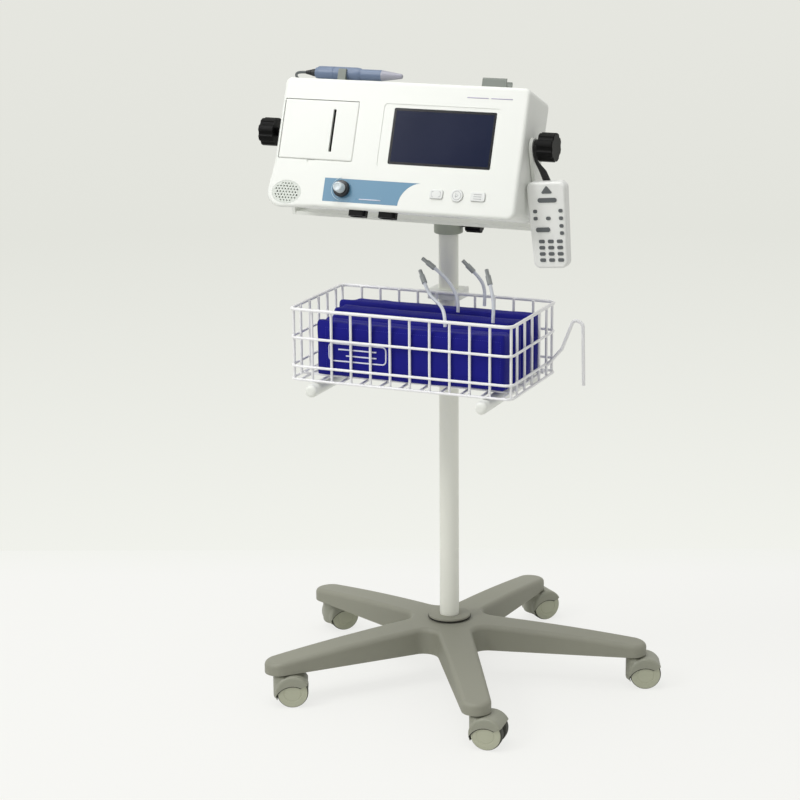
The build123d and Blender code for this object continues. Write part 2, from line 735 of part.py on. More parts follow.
with BuildPart() as front_shell:
    for step in range(round_steps + 1):
        angle = radians(90 * step / round_steps)
        add(case_outline(case_edge_r * (1 - cos(angle)), case_edge_r * (1 - sin(angle))))
    add(case_outline(split_depth, 0))
    loft(ruled=True)
    add(case_block(case_wall, split_depth, case_wall), mode=Mode.SUBTRACT)
    # posts for the screws, bosses for the tilt studs and for the panel board
    with BuildSketch(face.offset(-case_wall)):
        with Locations(*screw_places):
            Circle(post_r)
    extrude(amount=-(split_depth - case_wall))
    for side in (-1, 1):
        with BuildSketch(across(side * (half_w - case_wall / 2), pivot_v, pivot_d)):
            Circle(boss_out_r)
        extrude(amount=-side * (boss_length - case_wall / 2))
    with BuildSketch(face.offset(-case_wall)):
        with Locations(*panel_posts):
            Circle(2.5)
    extrude(amount=-(panel_d - case_wall))
    # the shallow recess round the screen, and the screen opening
    with BuildSketch(face):
        with Locations((bezel_u, bezel_v)):
            RectangleRounded(bezel_w, bezel_h, 6)
    extrude(amount=-bezel_t, mode=Mode.SUBTRACT)
    with BuildSketch(face):
        with Locations((window_u, window_v)):
            RectangleRounded(window_w + 2 * part_gap, window_h + 2 * part_gap, window_round + part_gap)
    extrude(amount=-case_wall - 1, mode=Mode.SUBTRACT)
    # the printer bay's skirt and opening, and the bores of the cover's hinge
    with BuildSketch(face.offset(-case_wall / 2)):
        with Locations((door_u, door_v)):
            Rectangle(door_w + 2 * door_gap + 2 * skirt_t, door_h + 2 * door_gap + 2 * skirt_t)
    extrude(amount=-(skirt_depth - case_wall / 2))
    with BuildSketch(face):
        with Locations((door_u, door_v)):
            RectangleRounded(door_w + 2 * door_gap, door_h + 2 * door_gap, door_round + door_gap)
    extrude(amount=-skirt_depth - 1, mode=Mode.SUBTRACT)
    with BuildSketch(across(door_left - door_gap - trunnion_l, hinge_v, hinge_d)):
        Circle(trunnion_r + fit)
    extrude(amount=door_w + 2 * door_gap + 2 * trunnion_l, mode=Mode.SUBTRACT)
    # finger notch under the cover
    with BuildSketch(face):
        with Locations((door_u - 6, door_low - door_gap - 1)):
            Circle(6)
    extrude(amount=-1.5, mode=Mode.SUBTRACT)
    # the grille's seat and the opening behind it
    with BuildSketch(face):
        with Locations((speaker_u, speaker_v)):
            Ellipse(speaker_a, speaker_b)
    extrude(amount=-grille_t, mode=Mode.SUBTRACT)
    with BuildSketch(face):
        with Locations((speaker_u, speaker_v)):
            Ellipse(speaker_a - grille_seat, speaker_b - grille_seat)
    extrude(amount=-case_wall - 1, mode=Mode.SUBTRACT)
    # the blue panel's seat, the knob's hole and the keys' holes
    add(overlay_outline(part_gap))
    extrude(amount=-overlay_t, mode=Mode.SUBTRACT)
    with BuildSketch(face):
        with Locations((knob_u, knob_v)):
            Circle(knob_shaft_d / 2 + 0.4)
    extrude(amount=-case_wall - 1, mode=Mode.SUBTRACT)
    for u, (w, h, r) in zip(key_us, key_shapes):
        with BuildSketch(face):
            with Locations((u, key_v)):
                RectangleRounded(w + 2 * part_gap, h + 2 * part_gap, r + part_gap)
        extrude(amount=-case_wall - 1, mode=Mode.SUBTRACT)
    # bores of the posts and of the tilt studs
    with BuildSketch(face.offset(-split_depth)):
        with Locations(*screw_places):
            Circle(screw_r + fit)
    extrude(amount=screw_bite + 1, mode=Mode.SUBTRACT)
    for side in (-1, 1):
        with BuildSketch(across(side * (half_w + 1), pivot_v, pivot_d)):
            Circle(stud_d / 2 + fit)
        extrude(amount=-side * (boss_length + 2), mode=Mode.SUBTRACT)
    # openings for the two probe sockets in the underside
    for u in socket_us:
        with BuildSketch(upright(u, -case_bottom - 6, socket_depth)):
            RectangleRounded(socket_w + 2 * fit, socket_l + 2 * fit, 4 + fit)
        extrude(amount=14, mode=Mode.SUBTRACT)
write(front_shell.part, "front_shell")

with BuildPart() as rear_shell:
    add(case_outline(split_depth, 0))
    for step in range(round_steps, -1, -1):
        angle = radians(90 * step / round_steps)
        add(case_outline(case_depth - back_edge_r * (1 - cos(angle)), back_edge_r * (1 - sin(angle))))
    loft(ruled=True)
    add(case_block(split_depth, case_depth - case_wall, case_wall), mode=Mode.SUBTRACT)
    with BuildSketch(face.offset(-split_depth)):
        with Locations(*screw_places):
            Circle(well_r + 1.8)
    extrude(amount=-(case_depth - case_wall - split_depth))
    with BuildSketch(face.offset(-case_depth)):
        with Locations(*screw_places):
            Circle(well_r)
    extrude(amount=case_depth - screw_seat_d, mode=Mode.SUBTRACT)
    with BuildSketch(face.offset(-split_depth)):
        with Locations(*screw_places):
            Circle(screw_r + 0.3)
    extrude(amount=-(case_depth - split_depth), mode=Mode.SUBTRACT)
    with BuildSketch(face.offset(-(board_d + board_t))):
        with Locations((board_u, board_v)):
            with GridLocations(board_w - 12, board_h - 12, 2, 2):
                Circle(3)
    extrude(amount=-(case_depth - case_wall / 2 - board_d - board_t))
    # hook for the probe's cable
    with BuildSketch(face.offset(-case_depth + 0.5)):
        with Locations((hook_u, hook_v)):
            Circle(peg_r)
    extrude(amount=-peg_length - 0.5)
    with BuildSketch(face.offset(-case_depth - peg_length)):
        with Locations((hook_u, hook_v)):
            Circle(peg_r + 5)
    extrude(amount=-2)
    # gland where the probe's cable goes in
    gland_v = hook_v + peg_r - coil_in_r + part_gap - coil_out_r + probe_cable_d / 2
    with BuildSketch(face.offset(-case_depth + 0.5)):
        with Locations((gland_u, gland_v)):
            RectangleRounded(gland_size, gland_size, 3)
    extrude(amount=-(gland_top - case_depth + 0.5))
    # row of slots that let warm air out
    with BuildSketch(face.offset(-case_depth)):
        with Locations((vent_u, vent_v)):
            with GridLocations(vent_pitch, 1, vent_count, 1):
                SlotOverall(vent_length, vent_w, rotation=90)
    extrude(amount=case_wall + 1, mode=Mode.SUBTRACT)
write(rear_shell.part, "rear_shell")

with BuildPart() as window:
    with BuildSketch(face.offset(-bezel_t)):
        with Locations((window_u, window_v)):
            RectangleRounded(window_w, window_h, window_round)
    extrude(amount=-(case_wall - bezel_t))
write(window.part, "display_window")

with BuildPart() as module:
    with BuildSketch(face.offset(-case_wall)):
        with Locations((window_u, window_v)):
            RectangleRounded(window_w + 13, window_h + 13, 2)
    extrude(amount=-module_t)
write(module.part, "display_module")

with BuildPart() as overlay:
    add(overlay_outline(0))
    extrude(amount=-overlay_t)
    with BuildSketch(face):
        with Locations((knob_u, knob_v)):
            Circle(knob_shaft_d / 2 + 0.4)
    extrude(amount=-overlay_t, mode=Mode.SUBTRACT)
write(overlay.part, "control_overlay")

with BuildPart() as knob:
    with BuildSketch(face.offset(knob_lift)):
        with Locations((knob_u, knob_v)):
            Circle(knob_skirt_r)
    extrude(amount=knob_skirt_t)
    fillet(knob.faces().sort_by(Axis(at(0, 0, 0), face.z_dir))[-1].edges(), 2.4)
    with BuildSketch(face.offset(knob_lift)):
        with Locations((knob_u, knob_v)):
            Circle(knob_cap_r)
    extrude(amount=knob_skirt_t + knob_cap_t, taper=3)
    fillet(knob.faces().sort_by(Axis(at(0, 0, 0), face.z_dir))[-1].edges(), 1)
    with BuildSketch(face.offset(knob_lift)):
        with Locations((knob_u, knob_v)):
            Circle(knob_shaft_d / 2)
    extrude(amount=-(knob_lift + panel_d - 1))
write(knob.part, "control_knob")

for name, u, (w, h, r) in zip(("key_left", "key_middle", "key_right"), key_us, key_shapes):
    with BuildPart() as key:
        with BuildSketch(face.offset(-case_wall - part_gap)):
            with Locations((u, key_v)):
                RectangleRounded(w, h, r)
        extrude(amount=case_wall + part_gap + key_lift)
        fillet(key.faces().sort_by(Axis(at(0, 0, 0), face.z_dir))[-1].edges(), 1)
        with BuildSketch(face.offset(-case_wall - part_gap)):
            with Locations((u, key_v)):
                RectangleRounded(w + 2, h + 2, r + 1)
        extrude(amount=-key_flange_t)
    write(key.part, name)

# ---- speaker: the grille in its seat and the driver behind it ----
with BuildPart() as grille:
    with BuildSketch(face):
        with Locations((speaker_u, speaker_v)):
            Ellipse(speaker_a - 0.2, speaker_b - 0.2)
    extrude(amount=-grille_t)
    with BuildSketch(face):
        for row in range(-grille_rows, grille_rows + 1):
            for column in range(-grille_columns, grille_columns + 1):
                u = (column + (row % 2) / 2) * grille_pitch
                v = row * grille_pitch * 3**0.5 / 2
                if (u / (speaker_a - 4)) ** 2 + (v / (speaker_b - 3.5)) ** 2 < 1:
                    with Locations((speaker_u + u, speaker_v + v)):
                        Circle(grille_hole_r)
    extrude(amount=-grille_t, mode=Mode.SUBTRACT)
with BuildPart() as driver:
    with BuildSketch(face.offset(-case_wall)):
        with Locations((speaker_u, speaker_v)):
            Circle(driver_r)
    extrude(amount=-3)
    with BuildSketch(face.offset(-case_wall - 3)):
        with Locations((speaker_u, speaker_v)):
            Circle(driver_r - 5)
    extrude(amount=-8)
write(group([grille.part, driver.part]), "speaker")

# ================= printer =================
with BuildPart() as cover:
    with BuildSketch(face):
        with Locations((door_u, door_v)):
            RectangleRounded(door_w, door_h, door_round)
    extrude(amount=-door_t)
    top_edges = cover.edges().filter_by(Axis.X).sort_by(Axis(at(0, 0, 0), face.y_dir))[-2:]
    fillet(top_edges, door_t / 2 - 0.05)
    with BuildSketch(face):
        with Locations((slot_u, door_v)):
            Rectangle(slot_w, slot_h)
    extrude(amount=-door_t, mode=Mode.SUBTRACT)
    with BuildSketch(across(door_left - trunnion_l - door_gap / 2, hinge_v, hinge_d)):
        Circle(trunnion_r)
    extrude(amount=door_round + trunnion_l + door_gap / 2)
    with BuildSketch(across(door_right - door_round, hinge_v, hinge_d)):
        Circle(trunnion_r)
    extrude(amount=door_round + trunnion_l + door_gap / 2)
write(cover.part, "printer_cover")

plate_gap = paper_w + 4
frame_left, frame_right = paper_u - paper_r - 4, platen_u + 14
with BuildPart() as printer_frame:
    for side in (-1, 1):
        with BuildSketch(upright(0, door_v + side * plate_gap / 2, 0)):
            with Locations(((frame_left + frame_right) / 2, (plate_front + plate_back) / 2)):
                Rectangle(frame_right - frame_left, plate_back - plate_front)
        extrude(amount=side * plate_t)
    with BuildSketch(face.offset(-plate_back)):
        with Locations(((frame_left + frame_right) / 2, door_v)):
            Rectangle(frame_right - frame_left, door_h + 2 * skirt_t)
    extrude(amount=-plate_t)
    # four posts up to the bay's skirt
    with BuildSketch(face.offset(-skirt_depth)):
        with Locations((frame_left + 10, door_v), (frame_right - 4, door_v)):
            with GridLocations(1, door_h + 2 * door_gap + skirt_t, 1, 2):
                Circle(3)
    extrude(amount=-(plate_back - skirt_depth))
    # stub pins for the roll's core, and holes for the platen's shaft
    for side in (-1, 1):
        with BuildSketch(upright(paper_u, door_v + side * (plate_gap / 2 + 0.5), paper_depth)):
            Circle(core_r - 0.35)
        extrude(amount=-side * 7.5)
    with BuildSketch(upright(platen_u, door_v - plate_gap / 2 - plate_t - 1, platen_depth)):
        Circle(platen_shaft_d / 2 + fit)
    extrude(amount=plate_gap + 2 * plate_t + 2, mode=Mode.SUBTRACT)
write(printer_frame.part, "printer_frame")

with BuildPart() as paper:
    with BuildSketch(upright(paper_u, door_v - paper_w / 2, paper_depth)):
        Circle(paper_r)
        Circle(core_r, mode=Mode.SUBTRACT)
    extrude(amount=paper_w)
write(paper.part, "paper_roll")

with BuildPart() as platen:
    with BuildSketch(upright(platen_u, door_v - paper_w / 2, platen_depth)):
        Circle(platen_r)
    extrude(amount=paper_w)
    with BuildSketch(upright(platen_u, door_v - plate_gap / 2 - plate_t - 0.5, platen_depth)):
        Circle(platen_shaft_d / 2)
    extrude(amount=plate_gap + 2 * plate_t + 1)
write(platen.part, "platen_roller")

# ================= boards =================
board_solids = []
with BuildPart() as main_board:
    with BuildSketch(face.offset(-board_d)):
        with Locations((board_u, board_v)):
            Rectangle(board_w, board_h)
    extrude(amount=-board_t)
board_solids.append(main_board.part)
for u, v, w, h in (battery_box, supply_box):
    with BuildPart() as box:
        with BuildSketch(face.offset(-board_d)):
            with Locations((u, v)):
                RectangleRounded(w, h, 3)
        extrude(amount=boxes_t)
    board_solids.append(box.part)
with BuildPart() as panel_board:
    with BuildSketch(face.offset(-panel_d)):
        with Locations((panel_u, panel_v)):
            Rectangle(panel_w, panel_h)
    extrude(amount=-board_t)
board_solids.append(panel_board.part)
for u in key_us:
    with BuildPart() as switch:
        with BuildSketch(face.offset(-panel_d)):
            with Locations((u, key_v)):
                Rectangle(7, 7)
        extrude(amount=panel_d - switch_front)
    board_solids.append(switch.part)
with BuildPart() as encoder:
    with BuildSketch(face.offset(-panel_d)):
        with Locations((knob_u, knob_v)):
            Rectangle(12, 12)
            Circle(knob_shaft_d / 2 + fit, mode=Mode.SUBTRACT)
    extrude(amount=panel_d - case_wall)
board_solids.append(encoder.part)
write(group(board_solids), "circuit_boards")

# ================= sockets and screws =================
socket_solids = []
for u in socket_us:
    with BuildPart() as socket:
        with BuildSketch(upright(u, -case_bottom - socket_out, socket_depth)):
            RectangleRounded(socket_w, socket_l, 4)
        extrude(amount=socket_h)
        with BuildSketch(upright(u, -case_bottom - socket_out, socket_depth)):
            RectangleRounded(socket_w - 6, socket_l - 6, 2)
        extrude(amount=socket_out, mode=Mode.SUBTRACT)
    socket_solids.append(socket.part)
write(group(socket_solids), "probe_sockets")

screw_solids = []
for place in screw_places:
    with BuildPart() as screw:
        with BuildSketch(face.offset(-screw_seat_d)):
            with Locations(place):
                Circle(screw_head_r)
        extrude(amount=-2.6)
        with BuildSketch(face.offset(-screw_seat_d)):
            with Locations(place):
                Circle(screw_r)
        extrude(amount=screw_seat_d - split_depth + screw_bite)
        with BuildSketch(face.offset(-screw_seat_d - 2.6)):
            with Locations(place):
                Rectangle(4.2, 0.9)
                Rectangle(0.9, 4.2)
        extrude(amount=1.4, mode=Mode.SUBTRACT)
    screw_solids.append(screw.part)
write(group(screw_solids), "console_screws")

# ================= probe and its holders =================
probe_v = case_top + cradle_floor + cradle_r


def cradle(u_left, u_right, cradle_h):
    """A holder with a round channel that is open at the top."""
    with BuildPart() as holder:
        with BuildSketch(across(u_left, case_top, cradle_depth)):
            with Locations((cradle_h / 2, 0)):
                Rectangle(cradle_h, cradle_w)
        extrude(amount=u_right - u_left)
        fillet(holder.edges().filter_by(Axis.X).sort_by(Axis(at(0, 0, 0), face.y_dir))[-2:], 3)
        with BuildSketch(across(u_left, probe_v, cradle_depth)):
            Circle(cradle_r)
            with Locations((cradle_r, 0)):
                Rectangle(2 * cradle_r, 2 * cradle_r - 0.6)
        extrude(amount=u_right - u_left, mode=Mode.SUBTRACT)
    return holder.part


write(group([cradle(*left_cradle), cradle(*right_cradle)]), "probe_holders")

with BuildPart() as probe:
    with BuildSketch(across(probe_end, probe_v, cradle_depth)):
        Circle(probe_r - 2)
    extrude(amount=4)
    with BuildSketch(across(probe_end + 4, probe_v, cradle_depth)):
        Circle(probe_r)
    extrude(amount=probe_grip)
    with BuildSketch(across(probe_end + 4 + probe_grip, probe_v, cradle_depth)):
        Circle(probe_r - 2)
    extrude(amount=probe_barrel)
    with BuildSketch(across(probe_end + 4 + probe_grip + probe_barrel, probe_v, cradle_depth)):
        Circle(probe_r - 2)
    with BuildSketch(across(probe_end + probe_length - 2, probe_v, cradle_depth)):
        Circle(probe_tip_r)
    loft()
    with BuildSketch(across(probe_end + probe_length - 2, probe_v, cradle_depth)):
        Circle(probe_tip_r)
    extrude(amount=2)
    with BuildSketch(across(probe_end - relief_length, probe_v, cradle_depth)):
        Circle(probe_cable_d / 2 + 0.8)
    with BuildSketch(across(probe_end, probe_v, cradle_depth)):
        Circle(probe_r - 4)
    loft()
write(probe.part, "probe")

# ---- the probe's cable: down behind the case to the coil on the hook ----
relief_end = probe_end - relief_length
coil_v = hook_v + peg_r - coil_in_r + part_gap
outer_turn_r = coil_out_r - probe_cable_d / 2
coil_lead = ((coil_out_r + probe_cable_d / 2) ** 2 - outer_turn_r**2) ** 0.5 + part_gap
cable_route = [
    (relief_end - joint_gap, probe_v, cradle_depth),
    (-177.0, probe_v, cradle_depth),
    (-186.0, 104.5, 26.0),
    (-190.5, 102.5, 40.0),
    (-190.0, 101.0, 57.0),
    (-185.5, 100.0, 74.0),
    (-178.5, 97.5, 90.5),
    (-170.5, 84.0, 98.5),
    (-160.0, 68.0, 100.0),
    (hook_u - outer_turn_r - 1.6, 53.0, 99.4),
    (hook_u - outer_turn_r, coil_v + coil_lead, coil_d + probe_cable_d / 2),
]
gland_face_u = gland_u - gland_size / 2 - joint_gap
with BuildPart() as cable_end:
    with BuildSketch(across(hook_u + coil_lead, coil_v - outer_turn_r, coil_d - probe_cable_d / 2)):
        Circle(probe_cable_d / 2)
    extrude(amount=gland_face_u - hook_u - coil_lead)
cable_start = tube([at(*point) for point in cable_route], probe_cable_d, "probe_cable")
write(group([cable_start, cable_end.part]), "probe_cable")

with BuildPart() as coil:
    with BuildSketch(face.offset(-coil_d + coil_t / 2)):
        with Locations((hook_u, coil_v)):
            Circle(coil_out_r)
            Circle(coil_in_r, mode=Mode.SUBTRACT)
    extrude(amount=-coil_t)
    fillet(coil.edges().filter_by(GeomType.CIRCLE), probe_cable_d / 2)
write(coil.part, "probe_cable_coil")

# ================= head on the pole =================
head_top = head_bottom + head_height
with BuildPart() as pole_head:
    with BuildSketch(Plane.XY.offset(head_bottom)):
        Circle(head_d / 2)
    extrude(amount=head_height)
    fillet(pole_head.faces().sort_by(Axis.Z)[0].edges(), 2)
    with BuildSketch(Plane.XY.offset(head_bottom)):
        Circle(pole_d / 2 + fit)
    extrude(amount=pole_top + fit - head_bottom, mode=Mode.SUBTRACT)
    with BuildSketch(Plane.YZ.offset(pole_d / 2)):
        with Locations((0, head_screw_z)):
            Circle(head_screw_d / 2 + fit)
    extrude(amount=head_d, mode=Mode.SUBTRACT)
write(pole_head.part, "pole_head")

with BuildPart() as head_screw:
    with BuildSketch(Plane.YZ.offset(pole_d / 2 + part_gap)):
        with Locations((0, head_screw_z)):
            Circle(head_screw_d / 2)
    extrude(amount=screw_grip_x - pole_d / 2 - part_gap)
    with BuildSketch(Plane.YZ.offset(screw_grip_x)):
        with Locations((0, head_screw_z)):
            Circle(screw_grip_r)
            with PolarLocations(screw_grip_r + 2, 6):
                Circle(3.4, mode=Mode.SUBTRACT)
    extrude(amount=screw_grip_l)
    fillet(head_screw.faces().sort_by(Axis.X)[-1].edges(), 1)
write(head_screw.part, "head_screw")

pivot = at(0, pivot_v, pivot_d)
arm_inner_x = half_w + arm_gap
arm_outer_x = arm_inner_x + yoke_t
with BuildPart() as yoke:
    with BuildSketch(Plane.XY.offset(head_top)):
        with Locations((0, yoke_base_y)):
            Rectangle(2 * arm_outer_x, yoke_base_w)
        with Locations((0, yoke_base_y / 2)):
            Rectangle(yoke_tongue_w, -yoke_base_y)
        Circle(yoke_tongue_w / 2)
    extrude(amount=yoke_t)
    for side in (-1, 1):
        with BuildSketch(Plane.YZ.offset(side * arm_inner_x)):
            with Locations((pivot.Y, pivot.Z)):
                Circle(yoke_arm_w / 2)
            with Locations((yoke_base_y, head_top + yoke_t / 2)):
                Rectangle(yoke_base_w, yoke_t)
            make_hull()
            with Locations((pivot.Y, pivot.Z)):
                Circle(stud_d / 2 + part_gap, mode=Mode.SUBTRACT)
        extrude(amount=side * yoke_t)
write(yoke.part, "yoke")

for name, side in (("tilt_knob_left", -1), ("tilt_knob_right", 1)):
    neck_x = arm_outer_x + 0.2
    disc_x = neck_x + strap_room
    with BuildPart() as tilt_knob:
        with BuildSketch(Plane.YZ.offset(side * (half_w - boss_length + 2))):
            with Locations((pivot.Y, pivot.Z)):
                Circle(stud_d / 2)
        extrude(amount=side * (neck_x - half_w + boss_length - 2))
        with BuildSketch(Plane.YZ.offset(side * neck_x)):
            with Locations((pivot.Y, pivot.Z)):
                Circle(neck_d / 2)
        extrude(amount=side * strap_room)
        with BuildSketch(Plane.YZ.offset(side * disc_x)):
            with Locations((pivot.Y, pivot.Z)):
                Circle(tilt_knob_r)
                with PolarLocations(tilt_knob_r + 4, 8):
                    Circle(6, mode=Mode.SUBTRACT)
        extrude(amount=side * tilt_knob_t)
        fillet(tilt_knob.faces().sort_by(Axis.X)[-1 if side > 0 else 0].edges(), 1.5)
    write(tilt_knob.part, name)

# ================= remote control on its strap =================
tip = radians(remote_lean)
remote_back_y = pivot.Y - remote_back_gap
remote_face = Plane(
    origin=(remote_x, remote_back_y, remote_top - remote_h / 2),
    x_dir=(cos(tip), 0, sin(tip)),
    z_dir=(0, -1, 0),
)
with BuildPart() as remote:
    with BuildSketch(remote_face):
        with BuildLine():
            FilletPolyline(
                (-remote_w_top / 2, remote_h / 2),
                (remote_w_top / 2, remote_h / 2),
                (remote_w_bottom / 2, -remote_h / 2),
                (-remote_w_bottom / 2, -remote_h / 2),
                radius=10,
                close=True,
            )
        make_face()
    extrude(amount=remote_t)
    fillet(remote.faces().sort_by(Axis.Y)[0].edges(), 4)
    fillet(remote.faces().sort_by(Axis.Y)[-1].edges(), 2)
write(remote.part, "remote_case")

key_places = list(remote_keys)
key_places += [(remote_side_key_u, v, 6.0, 5.0, 2.0) for v in remote_side_key_vs]
key_places += [(u, v, pad_key_w, pad_key_h, 2.0) for v in pad_vs for u in pad_us]
keypad_solids = []
for u, v, w, h, r in key_places:
    with BuildPart() as remote_key:
        with BuildSketch(remote_face.offset(remote_t)):
            with Locations((u, v)):
                RectangleRounded(w, h, r)
        extrude(amount=remote_key_t)
    keypad_solids.append(remote_key.part)
with BuildPart() as arrow_key:
    with BuildSketch(remote_face.offset(remote_t)):
        with Locations((remote_keys[0][0], triangle_v)):
            Triangle(a=triangle_w, b=triangle_h * 1.2, c=triangle_h * 1.2, align=(Align.CENTER, Align.CENTER))
        fillet(vertices(), 1.5)
    extrude(amount=remote_key_t)
keypad_solids.append(arrow_key.part)
write(group(keypad_solids), "remote_keypad")

strap_left = arm_outer_x + 0.8
strap_right = strap_left + strap_room - 1.4
with BuildPart() as strap:
    with BuildSketch(Plane.YZ.offset(strap_left)):
        with Locations((pivot.Y, pivot.Z)):
            Circle(neck_d / 2 + 0.5 + strap_t * 2)
            Circle(neck_d / 2 + 0.5, mode=Mode.SUBTRACT)
    extrude(amount=strap_right - strap_left)
    with BuildSketch(Plane.XZ.offset(-remote_back_y - fit)):
        with BuildLine():
            Polyline(
                (strap_left, pivot.Z - neck_d / 2 - 1.5),
                (strap_right, pivot.Z - neck_d / 2 - 1.5),
                (strap_right, strap_tab_top + 3),
                (remote_x + 6, strap_tab_top),
                (remote_x + 8, strap_tab_bottom),
                (strap_left + 6, strap_tab_bottom),
                (strap_left, strap_tab_top),
                close=True,
            )
        make_face()
    extrude(amount=-strap_t)
write(strap.part, "remote_strap")

print(len(written), "nodes")
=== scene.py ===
from math import cos, pi, radians, sin, tau

import bpy
from mathutils import Matrix, Vector
from mathutils.bvhtree import BVHTree


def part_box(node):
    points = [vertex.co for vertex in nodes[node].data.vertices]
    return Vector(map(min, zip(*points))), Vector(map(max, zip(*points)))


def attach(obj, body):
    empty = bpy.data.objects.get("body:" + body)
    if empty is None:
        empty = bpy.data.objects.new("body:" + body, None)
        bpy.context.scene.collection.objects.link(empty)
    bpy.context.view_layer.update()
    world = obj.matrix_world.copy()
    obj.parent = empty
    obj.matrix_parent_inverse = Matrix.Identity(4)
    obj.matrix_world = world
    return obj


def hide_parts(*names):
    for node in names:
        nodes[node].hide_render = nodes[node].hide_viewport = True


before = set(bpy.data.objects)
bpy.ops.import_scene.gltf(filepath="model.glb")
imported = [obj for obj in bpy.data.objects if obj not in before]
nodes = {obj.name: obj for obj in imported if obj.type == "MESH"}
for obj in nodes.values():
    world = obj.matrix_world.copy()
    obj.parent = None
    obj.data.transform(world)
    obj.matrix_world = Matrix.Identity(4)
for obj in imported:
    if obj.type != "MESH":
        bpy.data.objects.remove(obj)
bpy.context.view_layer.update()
MM = 0.001


# ---------------- camera ----------------
VIEW_ACROSS, VIEW_DOWN, VIEW_DISTANCE, VIEW_ROLL = radians(21.99), radians(14.68), 3.6132, radians(-0.144)


def put_camera():
    """A long lens from the front, a little to the right and above."""
    target = Vector((0, 0, 0.4424))
    back = Vector((sin(VIEW_ACROSS) * cos(VIEW_DOWN), -cos(VIEW_ACROSS) * cos(VIEW_DOWN), sin(VIEW_DOWN)))
    lens = bpy.data.cameras.new("camera")
    lens.lens, lens.sensor_width = 106.1, 36
    lens.shift_x, lens.shift_y = -0.0612, 0.0026
    lens.clip_end = 100
    camera = bpy.data.objects.new("camera", lens)
    bpy.context.scene.collection.objects.link(camera)
    camera.matrix_world = (
        Matrix.Translation(target + back * VIEW_DISTANCE)
        @ back.to_track_quat("Z", "Y").to_matrix().to_4x4()
        @ Matrix.Rotation(VIEW_ROLL, 4, "Z")
    )
    bpy.context.scene.camera = camera


put_camera()

# ---------------- the console's own axes ----------------
TILT = radians(21)
FACE_ORIGIN = Vector((0, -0.193, 0.8625))
ACROSS = Vector((1, 0, 0))
UP_FACE = Vector((0, sin(TILT), cos(TILT)))
INTO = Vector((0, cos(TILT), -sin(TILT)))
FACE_TURN = Matrix((ACROSS, UP_FACE, -INTO)).transposed().to_4x4()


def at(u, v, depth):
    """A point of the console from millimetres across, up the face and into the case."""
    return FACE_ORIGIN + (ACROSS * u + UP_FACE * v + INTO * depth) * MM


def on_face(u, v, depth):
    """A placing for a piece whose Z points out of the console's face."""
    return Matrix.Translation(at(u, v, depth)) @ FACE_TURN


# ---------------- materials ----------------
def srgb(red, green, blue):
    """A colour written as it looks, turned into the linear one that a shader takes."""
    return tuple((c / 255 / 12.92) if c / 255 < 0.04045 else ((c / 255 + 0.055) / 1.055) ** 2.4
                 for c in (red, green, blue)) + (1.0,)


def feed(tree, node, inputs):
    """Gives a node's inputs their values, each a plain one or another node's output."""
    for socket, value in inputs.items():
        if isinstance(value, bpy.types.NodeSocket):
            tree.links.new(value, node.inputs[socket])
        else:
            node.inputs[socket].default_value = value


def add_node(tree, kind, inputs=None, **settings):
    """A new node with its settings, and then its inputs."""
    node = tree.nodes.new(kind)
    for name, value in settings.items():
        setattr(node, name, value)
    feed(tree, node, inputs or {})
    return node


def add_math(tree, operation, *values, **settings):
    """The output of a math node on numbers or other nodes' outputs."""
    node = add_node(tree, "ShaderNodeMath", dict(enumerate(values)), operation=operation, **settings)
    return node.outputs[0]


def new_group(name, inputs, outputs):
    """A shader node group with its named sockets, and its first and last nodes."""
    group = bpy.data.node_groups.new(name, "ShaderNodeTree")
    for label, kind, default in inputs:
        socket = group.interface.new_socket(label, in_out="INPUT", socket_type=kind)
        socket.default_value = default
    for label, kind in outputs:
        group.interface.new_socket(label, in_out="OUTPUT", socket_type=kind)
    return group, group.nodes.new("NodeGroupInput"), group.nodes.new("NodeGroupOutput")


def build_grain_group():
    """Moulded or sprayed surface: slow drift of tone, fine grain and faint dust on what faces up."""
    group, start, end = new_group(
        "moulded_surface",
        [("Color", "NodeSocketColor", (0.8, 0.8, 0.8, 1)), ("Drift", "NodeSocketFloat", 0.04),
         ("Grain size", "NodeSocketFloat", 900.0), ("Roughness", "NodeSocketFloat", 0.45),
         ("Dust", "NodeSocketFloat", 0.05)],
        [("Color", "NodeSocketColor"), ("Roughness", "NodeSocketFloat"), ("Height", "NodeSocketFloat")],
    )
    given = start.outputs
    place = add_node(group, "ShaderNodeTexCoord").outputs["Object"]
    drift = add_node(group, "ShaderNodeTexNoise", {"Vector": place, "Scale": 9, "Detail": 5})
    fine = given["Grain size"]
    grain = add_node(group, "ShaderNodeTexNoise", {"Vector": place, "Scale": fine, "Detail": 2})
    # tone: one plus or minus the drift
    centred = add_math(group, "SUBTRACT", drift.outputs["Fac"], 0.5)
    tone = add_math(group, "MULTIPLY_ADD", add_math(group, "MULTIPLY", centred, given["Drift"]), 4, 1)
    toned = add_node(group, "ShaderNodeVectorMath", {0: given["Color"], "Scale": tone}, operation="SCALE")
    # dust settles on faces that look up
    facing = add_node(group, "ShaderNodeNewGeometry").outputs["Normal"]
    upward = add_node(group, "ShaderNodeSeparateXYZ", {0: facing}).outputs["Z"]
    settled = add_math(group, "POWER", upward, 6, use_clamp=True)
    speck = add_math(group, "MULTIPLY", settled, given["Dust"])
    dusty = add_node(group, "ShaderNodeMix", {"Factor": speck, 6: toned.outputs[0], 7: srgb(206, 202, 190)},
                     data_type="RGBA")
    # roughness drifts with the tone
    rough = add_math(group, "MULTIPLY_ADD", centred, 0.25, given["Roughness"])
    feed(group, end, {"Color": dusty.outputs[2], "Roughness": rough, "Height": grain.outputs["Fac"]})
    return group


